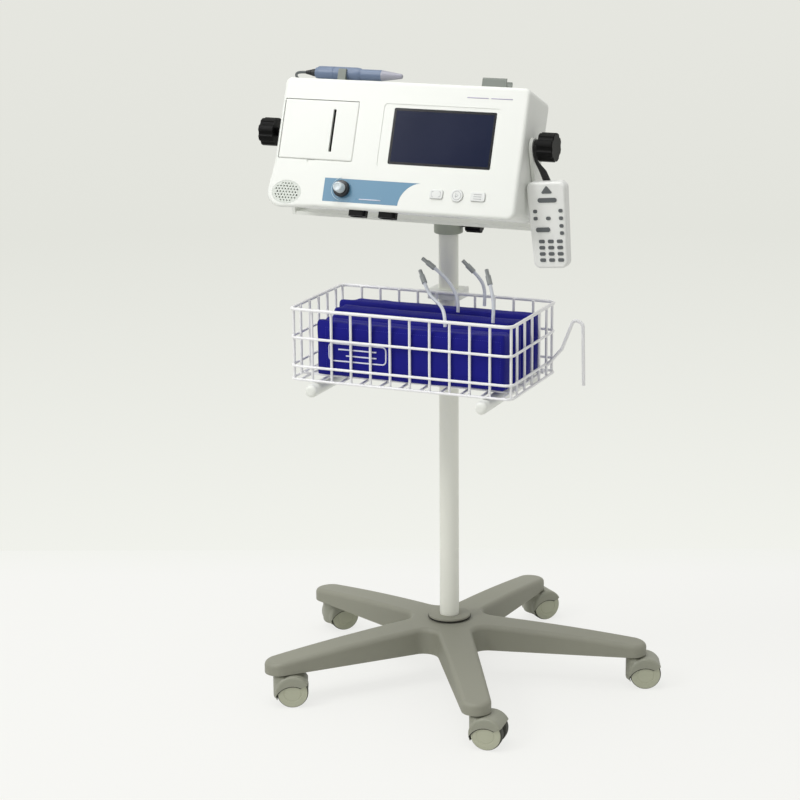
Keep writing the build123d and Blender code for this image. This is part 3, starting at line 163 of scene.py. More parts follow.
def build_weave_group():
    """Plain weave: threads that pass over and under each other, with a slow drift of tone and painted shade
    in the gaps between threads.
    """
    group, start, end = new_group(
        "plain_weave",
        [("Color", "NodeSocketColor", (0.1, 0.1, 0.3, 1)), ("Threads", "NodeSocketFloat", 6000.0),
         ("Drift", "NodeSocketFloat", 0.2)],
        [("Color", "NodeSocketColor"), ("Roughness", "NodeSocketFloat"), ("Height", "NodeSocketFloat")],
    )
    given = start.outputs
    place = add_node(group, "ShaderNodeTexCoord").outputs["Object"]
    split = add_node(group, "ShaderNodeSeparateXYZ", {0: place}).outputs
    down = add_math(group, "ADD", split["Y"], split["Z"])
    waves = [add_math(group, "SINE", add_math(group, "MULTIPLY", course, given["Threads"]))
             for course in (split["X"], down)]
    crossing = add_math(group, "MULTIPLY", *waves)
    drift = add_node(group, "ShaderNodeTexNoise", {"Vector": place, "Scale": 22, "Detail": 4})
    centred = add_math(group, "SUBTRACT", drift.outputs["Fac"], 0.5)
    slow = add_math(group, "MULTIPLY_ADD", centred, given["Drift"], 1)
    # the tone follows the threads' height and is darker where they dip: painted shade in the gaps between
    # threads
    tone = add_math(group, "MULTIPLY_ADD", crossing, 0.08, slow)
    toned = add_node(group, "ShaderNodeVectorMath", {0: given["Color"], "Scale": tone}, operation="SCALE")
    rough = add_math(group, "MULTIPLY_ADD", centred, 0.2, 0.72)
    feed(group, end, {"Color": toned.outputs[0], "Roughness": rough, "Height": crossing})
    return group


GRAIN = build_grain_group()
WEAVE = build_weave_group()


def new_material(name):
    material = bpy.data.materials.new(name)
    material.use_nodes = True
    return material, material.node_tree, material.node_tree.nodes["Principled BSDF"]


def skinned(name, group, given, bump, depth, plain):
    """A material whose colour, roughness and relief come from a shared group."""
    material, tree, surface = new_material(name)
    skin = add_node(tree, "ShaderNodeGroup", given, node_tree=group)
    relief = add_node(tree, "ShaderNodeBump", {"Strength": bump, "Distance": depth,
                                               "Height": skin.outputs["Height"]})
    feed(tree, surface, {"Base Color": skin.outputs["Color"], "Roughness": skin.outputs["Roughness"],
                         "Normal": relief.outputs["Normal"]})
    feed(tree, surface, {socket.replace("_", " "): value for socket, value in plain.items()})
    return material


def moulded(name, color, rough=0.45, drift=0.04, grain=900.0, bump=0.05, dust=0.04, **plain):
    """A moulded plastic, rubber or sprayed metal with the shared grain."""
    given = {"Color": color, "Drift": drift, "Grain size": grain, "Roughness": rough, "Dust": dust}
    return skinned(name, GRAIN, given, bump, 0.5 * MM, plain)


def woven(name, color, threads=6000.0, drift=0.3, bump=0.25, **plain):
    """A woven cloth whose threads come from the shared weave."""
    return skinned(name, WEAVE, {"Color": color, "Threads": threads, "Drift": drift}, bump, 0.3 * MM, plain)


base_paint = moulded("base_moulding", srgb(146, 146, 132), rough=0.5, drift=0.03, grain=1400, bump=0.12,
                     dust=0.01)
# a black for painted shade: the shadow line at the collar's foot and the gaps round the casters' wheels
painted_shade_black = moulded("dark_painted_shade", srgb(24, 24, 20), rough=0.6, dust=0.0)
pole_paint = moulded("pole_paint", srgb(246, 247, 237), rough=0.32, drift=0.015, grain=500, bump=0.03)
wire_coat = moulded("wire_coating", srgb(246, 246, 247), rough=0.28, drift=0.01, bump=0.02, Coat_Weight=0.3)
clamp_plastic = moulded("clamp_plastic", srgb(168, 174, 160), rough=0.42)
caster_plastic = moulded("caster_hood", srgb(152, 153, 138), rough=0.42, drift=0.03, grain=1400)
wheel_plastic = moulded("wheel_disc", srgb(184, 186, 164), rough=0.45, drift=0.03)
# the tread's dark colour is painted shade for the gap line between hood and disc
shade_dark_tread = moulded("wheel_tread_painted_shade", srgb(64, 65, 58), rough=0.6, drift=0.03)
bright_steel = moulded("bright_steel", srgb(205, 206, 205), rough=0.28, drift=0.03, dust=0.0, Metallic=1.0)
case_plastic = moulded("case_plastic", srgb(234, 236, 231), rough=0.36, drift=0.012, grain=1600, bump=0.05)
cover_plastic = moulded("printer_cover_plastic", srgb(231, 233, 228), rough=0.33, drift=0.012, grain=1600,
                        bump=0.05)
bracket_white = moulded("bracket_paint", srgb(240, 242, 236), rough=0.35, drift=0.02)
black_plastic = moulded("black_plastic", srgb(5, 5, 5), rough=0.45, drift=0.05, dust=0.002,
                        Specular_IOR_Level=0.12)
holder_gray = moulded("holder_plastic", srgb(120, 126, 119), rough=0.45, dust=0.01)
grille_gray = moulded("speaker_grille", srgb(212, 217, 210), rough=0.5)
knob_black = moulded("knob_skirt", srgb(24, 28, 34), rough=0.3)
key_plastic = moulded("key_plastic", srgb(228, 230, 228), rough=0.4)
panel_blue = moulded("blue_panel", srgb(94, 139, 168), rough=0.3, drift=0.03, grain=2500, bump=0.02)
paper_white = moulded("paper", srgb(240, 240, 235), rough=0.8)
roller_rubber = moulded("roller_rubber", srgb(34, 34, 34), rough=0.6)
board_green = moulded("circuit_board", srgb(40, 84, 56), rough=0.4)
probe_shell = moulded("probe_shell", srgb(106, 122, 148), rough=0.35, drift=0.02)
cable_gray = moulded("cable_jacket", srgb(84, 90, 92), rough=0.45, drift=0.03)
remote_plastic = moulded("remote_plastic", srgb(236, 237, 234), rough=0.38)
remote_rubber = moulded("remote_keys", srgb(92, 96, 98), rough=0.6)
strap_cloth = woven("strap_cloth", srgb(20, 20, 20), threads=9000.0, drift=0.2, bump=0.5)
cuff_cloth = woven("cuff_cloth", srgb(20, 20, 134), drift=0.35, Sheen_Weight=0.06, Specular_IOR_Level=0.2)
thread_blue = woven("cuff_thread", srgb(52, 54, 168), threads=9000.0)
print_white = moulded("white_print", srgb(226, 228, 242), rough=0.7, grain=2500, dust=0.0)
knob_cap = moulded("knob_cap", srgb(206, 216, 220), rough=0.25, drift=0.02, dust=0.0)
screen_border = moulded("screen_border", srgb(10, 13, 22), rough=0.2, dust=0.0, bump=0.0,
                        Specular_IOR_Level=0.3)
probe_tip = moulded("probe_tip", srgb(158, 158, 170), rough=0.3, drift=0.02)
boot_black = moulded("probe_boot", srgb(30, 32, 36), rough=0.5, drift=0.03)
plate_silver = moulded("rating_plate", srgb(206, 208, 208), rough=0.4, drift=0.02, dust=0.0)
ink_gray = moulded("gray_ink", srgb(176, 178, 180), rough=0.5, dust=0.0)
ink_lilac = moulded("lilac_ink", srgb(176, 168, 196), rough=0.5, dust=0.0)
ink_light = moulded("light_ink", srgb(196, 220, 232), rough=0.4, dust=0.0)
hose_clear = moulded("hose_tube", srgb(226, 230, 238), rough=0.25, drift=0.02, Coat_Weight=0.4)
connector_plastic = moulded("hose_connector", srgb(168, 172, 172), rough=0.35)
screen_dark = moulded("screen_glass", srgb(12, 22, 52), rough=0.2, drift=0.05, dust=0.0, bump=0.0,
                      Specular_IOR_Level=0.15)


def pick_alone(piece):
    """Makes the piece the only one selected, and the active one."""
    bpy.ops.object.select_all(action="DESELECT")
    piece.select_set(True)
    bpy.context.view_layer.objects.active = piece


def placed(name, data):
    """A new object in the scene for a mesh or a curve, alone in the selection."""
    piece = bpy.data.objects.new(name, data)
    bpy.context.scene.collection.objects.link(piece)
    pick_alone(piece)
    return piece


def smooth(piece, angle=35):
    """Rounds the shading of a piece, apart from its sharp edges."""
    pick_alone(piece)
    bpy.ops.object.shade_smooth_by_angle(angle=radians(angle))


def begin_piece(name, kind, **values):
    """A primitive that becomes a piece, alone in the selection."""
    bpy.ops.object.select_all(action="DESELECT")
    getattr(bpy.ops.mesh, f"primitive_{kind}_add")(**values)
    piece = bpy.context.active_object
    piece.name = piece.data.name = name
    return piece


def pick_faces(piece, test):
    """Edit mode with the faces selected whose centre and normal pass the test."""
    bpy.ops.object.mode_set(mode="OBJECT")
    for group in (piece.data.vertices, piece.data.edges):
        for part in group:
            part.select = False
    for face in piece.data.polygons:
        face.select = test(face.center, face.normal)
    bpy.ops.object.mode_set(mode="EDIT")
    bpy.ops.mesh.select_mode(type="FACE")


def pick_edges(piece, test):
    """Edit mode with the edges selected whose two ends pass the test."""
    bpy.ops.object.mode_set(mode="OBJECT")
    for group in (piece.data.vertices, piece.data.polygons):
        for part in group:
            part.select = False
    spots = piece.data.vertices
    for edge in piece.data.edges:
        edge.select = test(spots[edge.vertices[0]].co, spots[edge.vertices[1]].co)
    bpy.ops.object.mode_set(mode="EDIT")
    bpy.ops.mesh.select_mode(type="EDGE")


def round_faces(piece, test, amount, segments):
    """Rounds the edges of the faces that pass the test, by millimetres."""
    pick_faces(piece, test)
    bpy.ops.mesh.bevel(offset=amount * MM, segments=segments, affect="EDGES")
    bpy.ops.object.mode_set(mode="OBJECT")


def apply_modifier(piece, name, kind, **values):
    """Adds a modifier to the active piece and applies it at once."""
    modifier = piece.modifiers.new(name, kind)
    for setting, value in values.items():
        setattr(modifier, setting, value)
    bpy.ops.object.modifier_apply(modifier=name)


def clean(piece):
    """Merges doubles and turns the faces outward."""
    bpy.ops.object.mode_set(mode="EDIT")
    bpy.ops.mesh.select_all(action="SELECT")
    bpy.ops.mesh.remove_doubles(threshold=1e-6)
    bpy.ops.mesh.normals_make_consistent(inside=False)
    bpy.ops.object.mode_set(mode="OBJECT")


def finish_piece(piece, place, *materials):
    """Closes the edit, puts the piece in its place and gives it its materials."""
    clean(piece)
    bpy.ops.object.transform_apply(location=True, rotation=True, scale=True)
    piece.data.transform(place)
    for material in materials:
        piece.data.materials.append(material)
    smooth(piece)
    return piece


def paint(piece, index, test):
    """Gives one of the piece's materials to the faces whose centre and normal pass the test."""
    for face in piece.data.polygons:
        if test(face.center, face.normal):
            face.material_index = index


def turned(name, profile, place, *materials):
    """A turned piece: radius and height points in millimetres, spun about Z."""
    mesh = bpy.data.meshes.new(name)
    mesh.from_pydata([(r * MM, 0, z * MM) for r, z in profile],
                     [(i, i + 1) for i in range(len(profile) - 1)], [])
    piece = placed(name, mesh)
    bpy.ops.object.mode_set(mode="EDIT")
    bpy.ops.mesh.select_all(action="SELECT")
    bpy.ops.mesh.spin(steps=48, angle=tau, center=(0, 0, 0), axis=(0, 0, 1))
    return finish_piece(piece, place, *materials)


def slab(name, outline, near, far):
    """An outline of X and Z in millimetres, made solid from the near to the far Y."""
    mesh = bpy.data.meshes.new(name)
    mesh.from_pydata([(x * MM, near * MM, z * MM) for x, z in outline], [], [range(len(outline))])
    piece = placed(name, mesh)
    bpy.ops.object.mode_set(mode="EDIT")
    bpy.ops.mesh.select_all(action="SELECT")
    bpy.ops.mesh.extrude_region_move(TRANSFORM_OT_translate={"value": (0, (far - near) * MM, 0)})
    clean(piece)
    return piece


def coat(piece, material):
    """Gives the piece this one material."""
    piece.data.materials.clear()
    piece.data.materials.append(material)


def strokes(name, lines, width, material):
    """Fine raised lines through points in metres, such as print or stitches."""
    drawing = bpy.data.curves.new(name, "CURVE")
    drawing.dimensions = "3D"
    drawing.bevel_depth = width / 2
    drawing.bevel_resolution = 1
    drawing.use_fill_caps = True
    for line in lines:
        spline = drawing.splines.new("POLY")
        spline.points.add(len(line) - 1)
        for knot, point in zip(spline.points, line):
            knot.co = (*point, 1)
    placed(name, drawing)
    bpy.ops.object.convert(target="MESH")
    piece = bpy.context.active_object
    clean(piece)
    coat(piece, material)
    return piece


def ring(centre_u, centre_v, radius_u, radius_v, start=0, end=360, steps=32):
    """Points of an arc in millimetres, for strokes."""
    return [(centre_u + radius_u * cos(radians(start + (end - start) * i / steps)),
             centre_v + radius_v * sin(radians(start + (end - start) * i / steps))) for i in range(steps + 1)]


def pill(centre_u, centre_v, width, height, corner):
    """Points of a closed rounded rectangle in millimetres."""
    points = []
    for turn, (su, sv) in enumerate(((1, 1), (-1, 1), (-1, -1), (1, -1))):
        points += ring(centre_u + su * (width / 2 - corner), centre_v + sv * (height / 2 - corner),
                       corner, corner, 90 * turn, 90 * turn + 90, 6)
    return points + [points[0]]


def joined(pieces, name):
    """Several pieces made one."""
    pick_alone(pieces[0])
    for piece in pieces:
        piece.select_set(True)
    bpy.ops.object.join()
    pieces[0].name = pieces[0].data.name = name
    return pieces[0]


def combine(piece, tool, operation="DIFFERENCE"):
    """Cuts the tool out of the piece, or adds it, and takes the tool away."""
    pick_alone(piece)
    apply_modifier(piece, "Boolean", "BOOLEAN", object=tool, operation=operation, solver="EXACT")
    bpy.data.objects.remove(tool)


def ride_with(piece, body, slot, *replaced):
    """Puts the piece on the body that carries it and hides the CAD nodes it stands for; its slot is not used.
    """
    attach(piece, body)
    if replaced:
        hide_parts(*replaced)


def dress(material, *names):
    """Gives the CAD nodes one material."""
    for name in names:
        coat(nodes[name], material)


casters = range(1, 6)
dress(base_paint, "base_star")
dress(painted_shade_black, "base_collar")
dress(pole_paint, "pole")
dress(bright_steel, "pole_fixings", "caster_stems", "console_screws")
dress(caster_plastic, *[f"caster_{i}_housing" for i in casters])
dress(wheel_plastic, *[f"caster_{i}_wheels" for i in casters])
dress(wire_coat, "basket_front", "basket_back", "basket_sides", "basket_floor", "hose_hook")
dress(clamp_plastic, "pole_head")
dress(connector_plastic, "hose_connectors")
dress(bracket_white, "basket_bracket", "yoke")
dress(case_plastic, "front_shell", "rear_shell")
dress(cover_plastic, "printer_cover")
dress(black_plastic, "head_screw", "tilt_knob_left", "tilt_knob_right", "display_module", "printer_frame",
      "probe_sockets")
dress(screen_dark, "display_window")
dress(panel_blue, "control_overlay")
dress(knob_black, "control_knob")
dress(key_plastic, "key_left", "key_middle", "key_right")
dress(grille_gray, "speaker")
dress(paper_white, "paper_roll")
dress(roller_rubber, "platen_roller")
dress(board_green, "circuit_boards")
dress(holder_gray, "probe_holders")
dress(probe_shell, "probe")
dress(remote_plastic, "remote_case")
dress(remote_rubber, "remote_keypad")
dress(strap_cloth, "remote_strap")


# ---------------- collar at the pole's foot ----------------
collar_low, collar_high = (Vector(corner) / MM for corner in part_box("base_collar"))
COLLAR_R = (collar_high.x - collar_low.x) / 2
SLEEVE_R, POLE_HOLE_R, COLLAR_HEIGHT, SHADE_BAND, SET_BACK = 19.9, 15.2, 5, 1.7, 0.7
RING_R = COLLAR_R - SET_BACK
collar_foot = collar_high.z - COLLAR_HEIGHT
shade_band_top = collar_foot + SHADE_BAND
collar_profile = [
    (POLE_HOLE_R, collar_low.z), (SLEEVE_R, collar_low.z), (SLEEVE_R, collar_foot),
    (COLLAR_R - 0.3, collar_foot), (COLLAR_R, collar_foot + 0.3), (COLLAR_R, shade_band_top),
    (RING_R, shade_band_top), (RING_R, collar_high.z - 1.6), (RING_R - 0.6, collar_high.z - 0.5),
    (RING_R - 2, collar_high.z), (POLE_HOLE_R + 0.8, collar_high.z), (POLE_HOLE_R, collar_high.z - 0.8),
    (POLE_HOLE_R, collar_low.z),
]
collar = turned("pole_foot_ring", collar_profile, Matrix(), painted_shade_black, base_paint)
# the band at the collar's foot is painted black, as painted shade for the shadow line where the collar meets
# the base; the ring above takes the base's paint
paint(collar, 1, lambda centre, normal: centre.z > (shade_band_top + 0.01) * MM)
ride_with(collar, "root", "base_paint", "base_collar")

# ---------------- casters ----------------
# one caster in its own frame, whose stem stands at the origin and whose wheels trail toward X
ARM_ANGLES = [227.7, 299.7, 11.7, 83.7, 155.7]
HEADINGS = [25, 5, 22, 50, 45]
STEM_CIRCLE_R = 288
TRAIL, AXLE_Z, AXLE_R, AXLE_END = 20, 24, 3, 14
HOOD_R, HOOD_HALF, HOOD_TOP, HOOD_ROUNDING = 26.6, 23.4, 50.4, 3.5
WHEEL_ROOM_R, ROOM_IN, ROOM_OUT, WEB_R = 25.2, 6.5, 21.8, 16
OPENING_R, OPENING_Z, LIP, LIP_DEPTH, OVERLAP = 27, 7, 1.3, 0.8, 0.2
SOCKET_X, SOCKET_LOW, SOCKET_HALF = (-9.5, 14.5), 11, 20
AXLE_BORE_R, STEM_BORE_R, STEM_BORE_LOW, STEM_BORE_DEPTH = 3.1, 4.15, 22.5, 40
HOOD_VOXEL, HOOD_SMOOTHINGS, BEYOND = 1.2, 8, 30
# what the hood leaves open below and behind
BELOW_HOOD = [(-20, 11.5), (8, 15), (20, 21), (34, 32), (60, 44), (60, -9), (-20, -9)]


def rod(radius, near, far, height=AXLE_Z, rounding=0.0):
    """A cylinder in millimetres that lies along Y over the axle's place."""
    piece = begin_piece("rod", "cylinder", vertices=64, radius=radius * MM, depth=(far - near) * MM,
                        location=(TRAIL * MM, (near + far) / 2 * MM, height * MM), rotation=(pi / 2, 0, 0))
    bpy.ops.object.transform_apply(location=True, rotation=True, scale=True)
    if rounding:
        round_faces(piece, lambda centre, normal: abs(normal.y) > 0.9, rounding, 4)
    return piece


def make_hood():
    """A rounded fender that runs into the stem's socket, hollow for its two wheels."""
    fender = rod(HOOD_R, -HOOD_HALF, HOOD_HALF, rounding=HOOD_ROUNDING)
    socket = begin_piece("socket", "cylinder", vertices=64, radius=1, depth=1)
    middle = Vector((sum(SOCKET_X) / 2, 0, (SOCKET_LOW + HOOD_TOP) / 2)) * MM
    spans = Vector(((SOCKET_X[1] - SOCKET_X[0]) / 2, SOCKET_HALF, HOOD_TOP - SOCKET_LOW)) * MM
    socket.data.transform(Matrix.Translation(middle) @ Matrix.Diagonal((*spans, 1)))
    round_faces(socket, lambda centre, normal: abs(normal.z) > 0.9, 4, 4)
    hood = joined([fender, socket], "caster_hood")
    apply_modifier(hood, "Remesh", "REMESH", mode="VOXEL", voxel_size=HOOD_VOXEL * MM)
    apply_modifier(hood, "Smooth", "SMOOTH", factor=0.5, iterations=HOOD_SMOOTHINGS)
    # a room for each wheel, and the opening of its cheek with a step round it
    openings = [(OPENING_R, ROOM_OUT - OVERLAP), (OPENING_R + LIP, ROOM_OUT + LIP_DEPTH)]
    for sign in (1, -1):
        combine(hood, rod(WHEEL_ROOM_R, *sorted((sign * ROOM_IN, sign * ROOM_OUT))))
        for radius, near in openings:
            combine(hood, rod(radius, *sorted((sign * near, sign * BEYOND)), height=OPENING_Z))
    combine(hood, slab("below_hood", BELOW_HOOD, -BEYOND, BEYOND))
    combine(hood, rod(WEB_R, -ROOM_IN, ROOM_IN, rounding=0.8), "UNION")
    combine(hood, rod(AXLE_BORE_R, -ROOM_IN - 1, ROOM_IN + 1))
    combine(hood, begin_piece("stem_bore", "cylinder", vertices=48, radius=STEM_BORE_R * MM,
                              depth=STEM_BORE_DEPTH * MM,
                              location=(0, 0, (STEM_BORE_LOW + STEM_BORE_DEPTH / 2) * MM)))
    finish_piece(hood, Matrix(), caster_plastic, painted_shade_black)
    # the cheek's opening and the step round it are painted dark: painted shade for the shadow gap between
    # hood and disc
    opening = Vector((TRAIL, 0, OPENING_Z)) * MM
    paint(hood, 1, lambda centre, normal: abs(centre.y) > (ROOM_OUT - OVERLAP) * MM
          and (centre - opening).xz.length < (OPENING_R + LIP + 0.05) * MM)
    return hood


# radius, and distance out from the caster's middle
wheel_profile = [
    (0.01, 6.9), (22.6, 6.9), (23.7, 7.6), (24.0, 9.0), (24.0, 17.6), (23.6, 19.4), (22.9, 20.3),
    (22.6, 20.3), (22.5, 21.0), (22.0, 21.4), (14.0, 21.6), (13.6, 21.2), (12.6, 21.2), (12.2, 21.6),
    (0.01, 21.7),
]
DISC_R, DISC_OUT = 22.7, 20.4


def make_wheels():
    """Two wheels: a tread painted dark, as painted shade for the gap line round the disc, with a pale disc
    let into its outer side.
    """
    axle = Vector((TRAIL, 0, AXLE_Z)) * MM
    wheels = []
    for quarter in (90, -90):
        place = Matrix.Translation(axle) @ Matrix.Rotation(radians(quarter), 4, "X")
        wheel = turned("wheel", wheel_profile, place, shade_dark_tread, wheel_plastic)
        paint(wheel, 1, lambda centre, normal: abs(centre.y) > DISC_OUT * MM
              and (centre - axle).xz.length < DISC_R * MM)
        wheels.append(wheel)
    wheels.append(rod(AXLE_R, -AXLE_END, AXLE_END))
    return joined(wheels, "wheel_pair")


patterns = {"hood": make_hood(), "wheels": make_wheels()}
for number, (angle, heading) in enumerate(zip(ARM_ANGLES, HEADINGS), start=1):
    foot = Vector((cos(radians(angle)), sin(radians(angle)), 0)) * STEM_CIRCLE_R * MM
    carried = {"hood": (f"caster_{number}", "caster_gray", f"caster_{number}_housing"),
               "wheels": (f"wheels_{number}", "wheel_gray", f"caster_{number}_wheels")}
    for kind, says in carried.items():
        mesh = patterns[kind].data.copy()
        mesh.transform(Matrix.Translation(foot) @ Matrix.Rotation(radians(heading), 4, "Z"))
        ride_with(placed(f"caster_{kind}_{number}", mesh), *says)
for pattern in patterns.values():
    bpy.data.objects.remove(pattern)


# ---------------- cords ----------------
def cord_line(name, points, diameter, material):
    """One smooth round cord on a route of points in metres."""
    line = bpy.data.curves.new(name, "CURVE")
    line.dimensions = "3D"
    spline = line.splines.new("NURBS")
    spline.points.add(len(points) - 1)
    for knot, point in zip(spline.points, points):
        knot.co = (*point, 1)
    spline.order_u = 3
    spline.use_endpoint_u = True
    line.resolution_u = 8
    line.bevel_depth = diameter / 2
    line.bevel_resolution = 4
    line.use_fill_caps = True
    line.materials.append(material)
    return placed(name, line)


HOSE_D = 5.2 * MM
hose_routes = [
    [(70, -187.2, 606.3), (69.6, -186.8, 617), (63, -177, 629), (47, -159, 635), (31, -141, 637),
     (18, -126, 642), (10, -118, 652)],
    [(128, -147.2, 608.3), (128, -146, 620), (127, -142, 633), (123, -136, 647), (117, -130, 660)],
    [(58, -107.2, 610.3), (58, -106, 622), (54, -104, 636), (44, -101, 650), (31, -98, 662),
     (17, -97, 671)],
    [(84, -67.2, 613.3), (84, -66, 625), (83, -64, 638), (78, -64, 652), (67, -66, 663)],
]
hose_lengths = [0.1103, 0.0568, 0.0785, 0.0554]
# the connectors' sizes in millimetres
GRIP_R, GRIP_LENGTH, NOSE_LENGTH, SHOULDER, END_GAP = 4, 14.4, 9.6, 1.12, 0.05


def make_connector(name, start, way):
    """A hose's connector: a thick grip and then a thinner nose, along the hose's last run."""
    piece = begin_piece(name, "cylinder", vertices=32, radius=GRIP_R * MM, depth=GRIP_LENGTH * MM,
                        location=(0, 0, GRIP_LENGTH / 2 * MM), end_fill_type="NGON")
    pick_faces(piece, lambda centre, normal: normal.z > 0.9)
    bpy.ops.mesh.inset(thickness=SHOULDER * MM, depth=0)
    bpy.ops.mesh.extrude_region_move(TRANSFORM_OT_translate={"value": (0, 0, NOSE_LENGTH * MM)})
    round_faces(piece, lambda centre, normal: abs(normal.z) > 0.9, 0.5, 2)
    return finish_piece(piece, Matrix.Translation(start) @ way.to_track_quat("Z", "Y").to_matrix().to_4x4(),
                        connector_plastic)


for number, (route, length) in enumerate(zip(hose_routes, hose_lengths), start=1):
    points = [Vector(point) * MM for point in route]
    hose = cord_line(f"cuff_hose_{number}", points, HOSE_D, hose_clear)
    ride_with(hose, "root", "hose_blue", f"hose_{number}")
    way = (points[-1] - points[-2]).normalized()
    connector = make_connector(f"hose_plug_{number}", points[-1] + way * END_GAP * MM, way)
    ride_with(connector, "root", "connector_gray", "hose_connectors")

CABLE_D = 4 * MM
COIL_U, COIL_V = -120.0, 21.3
TURN_RADII = [30.0, 26.0, 22.0, 18.0]
TURN_STEPS, BACK_LAYER, CASE_LAYER = 16, 99.0, 95.0
STEP_SHARE = 4  # a turn passes to the next one over its last quarter


def coil_point(radius, depth, step):
    """A point of the coil, in millimetres on the console's axes."""
    angle = pi + tau * step / TURN_STEPS
    return COIL_U + radius * cos(angle), COIL_V + radius * sin(angle), depth


def coil_turns():
    """Four turns inward on the layer further back, then four outward on the layer at the case."""
    rings = [(r, BACK_LAYER) for r in TURN_RADII] + [(r, CASE_LAYER) for r in reversed(TURN_RADII)]
    turns = []
    for (radius, depth), (next_radius, next_depth) in zip(rings, rings[1:] + rings[-1:]):
        for step in range(TURN_STEPS):
            share = max(0, step / TURN_STEPS - 1 + 1 / STEP_SHARE) * STEP_SHARE
            turns.append(coil_point(radius + (next_radius - radius) * share,
                                    depth + (next_depth - depth) * share, step))
    return turns


cable_points = [
    (-166.05, 105.8, 18), (-177, 105.8, 18), (-186, 104.5, 26), (-190.5, 102.5, 40), (-190, 101, 57),
    (-185.5, 100, 74), (-178.5, 97.5, 90.5), (-170.5, 84, 98.5), (-160, 68, 100), (-151.6, 53, 99.4),
    (-150, 37.8, 99),
]
cable_points += coil_turns()
# the last turn runs on to its lowest point and leaves along the case to its gland
cable_points += [coil_point(TURN_RADII[0], CASE_LAYER, step) for step in range(TURN_STEPS // 4 + 1)]
cable_points += [(u, COIL_V - TURN_RADII[0], CASE_LAYER) for u in (-108, -98, -88.1)]
cable_route = [at(*point) for point in cable_points]
probe_cable = cord_line("probe_lead", cable_route, CABLE_D, cable_gray)
ride_with(probe_cable, "console", "cable_gray", "probe_cable", "probe_cable_coil")


# ---------------- cuffs ----------------
CLOTH_PRESSURE, CLOTH_FRAMES = 4, 20


def puff(piece, cap):
    """Swells the piece as cloth under pressure, with no point further than the cap from its start."""
    start = [vertex.co.copy() for vertex in piece.data.vertices]
    cloth = piece.modifiers.new("Cloth", "CLOTH")
    cloth.settings.use_pressure = True
    cloth.settings.uniform_pressure_force = CLOTH_PRESSURE
    cloth.settings.effector_weights.gravity = 0
    for moment in range(1, CLOTH_FRAMES + 1):
        bpy.context.scene.frame_set(moment)
    bpy.ops.object.modifier_apply(modifier=cloth.name)
    bpy.context.scene.frame_set(1)
    for vertex, home in zip(piece.data.vertices, start):
        shift = vertex.co - home
        if shift.length > cap:
            vertex.co = home + shift * (cap / shift.length)


CUFF_MARGIN, CUFF_FLOOR_MARGIN = 1.8 * MM, 0.3 * MM  # the cuff starts smaller by this, and swells back
FOLD_OVERLAP, FOLD_ROUNDING = 2.2 * MM, 4.2 * MM
CUFF_VOXEL, CREASE_SIZE, CREASE_DEPTH, SWELL_CAP = 4.5 * MM, 50 * MM, 2.6 * MM, 1.7 * MM
# each fold's step in from the left end, the right end and the top
fold_steps = {
    1: [(-9, 1, 0), (-4, 0, 3), (-7, 3, 1)],
    2: [(2, 0, 3), (0, 2, 0), (6, 1, 2)],
    3: [(0, 2, 2), (9, 0, 0), (3, 1, 4)],
    4: [(1, 0, 1), (26, 2, 0), (60, 1, 3)],
}


def make_cuff(number):
    """A folded cuff: three puffed layers that stand on edge, pressed against each other."""
    low, high = (Vector(corner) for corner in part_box(f"cuff_{number}"))
    low += Vector((CUFF_MARGIN, CUFF_MARGIN, CUFF_FLOOR_MARGIN))
    high -= Vector((CUFF_MARGIN, CUFF_MARGIN, CUFF_MARGIN))
    pitch = (high.y - low.y) / 3
    layers = []
    for layer, (left_in, right_in, top_in) in enumerate(fold_steps[number]):
        near = low.y + layer * pitch - (FOLD_OVERLAP / 2 if layer else 0)
        far = low.y + (layer + 1) * pitch + (FOLD_OVERLAP / 2 if layer < 2 else 0)
        size = Vector((high.x - low.x - (left_in + right_in) * MM, far - near, high.z - low.z - top_in * MM))
        middle = Vector((low.x + left_in * MM + size.x / 2, (near + far) / 2, low.z + size.z / 2))
        pad = begin_piece(f"cuff_layer_{layer}", "cube", size=1)
        pad.data.transform(Matrix.Translation(middle) @ Matrix.Diagonal((*size, 1)))
        bpy.ops.object.mode_set(mode="EDIT")
        bpy.ops.mesh.select_all(action="SELECT")
        bpy.ops.mesh.bevel(offset=FOLD_ROUNDING, segments=3, affect="EDGES")
        bpy.ops.object.mode_set(mode="OBJECT")
        layers.append(pad)
    piece = joined(layers, f"folded_cuff_{number}")
    apply_modifier(piece, "Remesh", "REMESH", mode="VOXEL", voxel_size=CUFF_VOXEL)
    creases = bpy.data.textures.new(f"creases_{number}", "CLOUDS")
    creases.noise_scale = CREASE_SIZE
    apply_modifier(piece, "Displace", "DISPLACE", texture=creases, strength=CREASE_DEPTH, mid_level=0.62,
                   texture_coords="LOCAL")
    puff(piece, SWELL_CAP)
    apply_modifier(piece, "Subdivision", "SUBSURF", levels=1, render_levels=1)
    coat(piece, cuff_cloth)
    clean(piece)
    smooth(piece, 60)
    ride_with(piece, "root", "cuff_fabric", f"cuff_{number}")
    return piece


cuffs = {number: make_cuff(number) for number in fold_steps}


def laid_on(piece, points, outside, way):
    """The points, given across and up in metres, moved along way until they meet the piece."""
    tree = BVHTree.FromPolygons([vertex.co for vertex in piece.data.vertices],
                                [face.vertices[:] for face in piece.data.polygons])
    landed = []
    for x, z in points:
        spot = tree.ray_cast(Vector((x, outside, z)), Vector((0, way, 0)))[0]
        if spot:
            landed.append(spot)
    return landed


def along(corners, step):
    """Evenly spaced points on a path through the corners."""
    points = []
    for start, end in zip(corners, corners[1:]):
        start, end = Vector(start), Vector(end)
        count = max(1, round((end - start).length / step))
        points += [start.lerp(end, i / count) for i in range(count)]
    return points + [Vector(corners[-1])]


SEAM_INSET, STITCH_LENGTH, THREAD_D, CLEAR_OF_CUFF = 11 * MM, 1.7 * MM, 0.55 * MM, 20 * MM


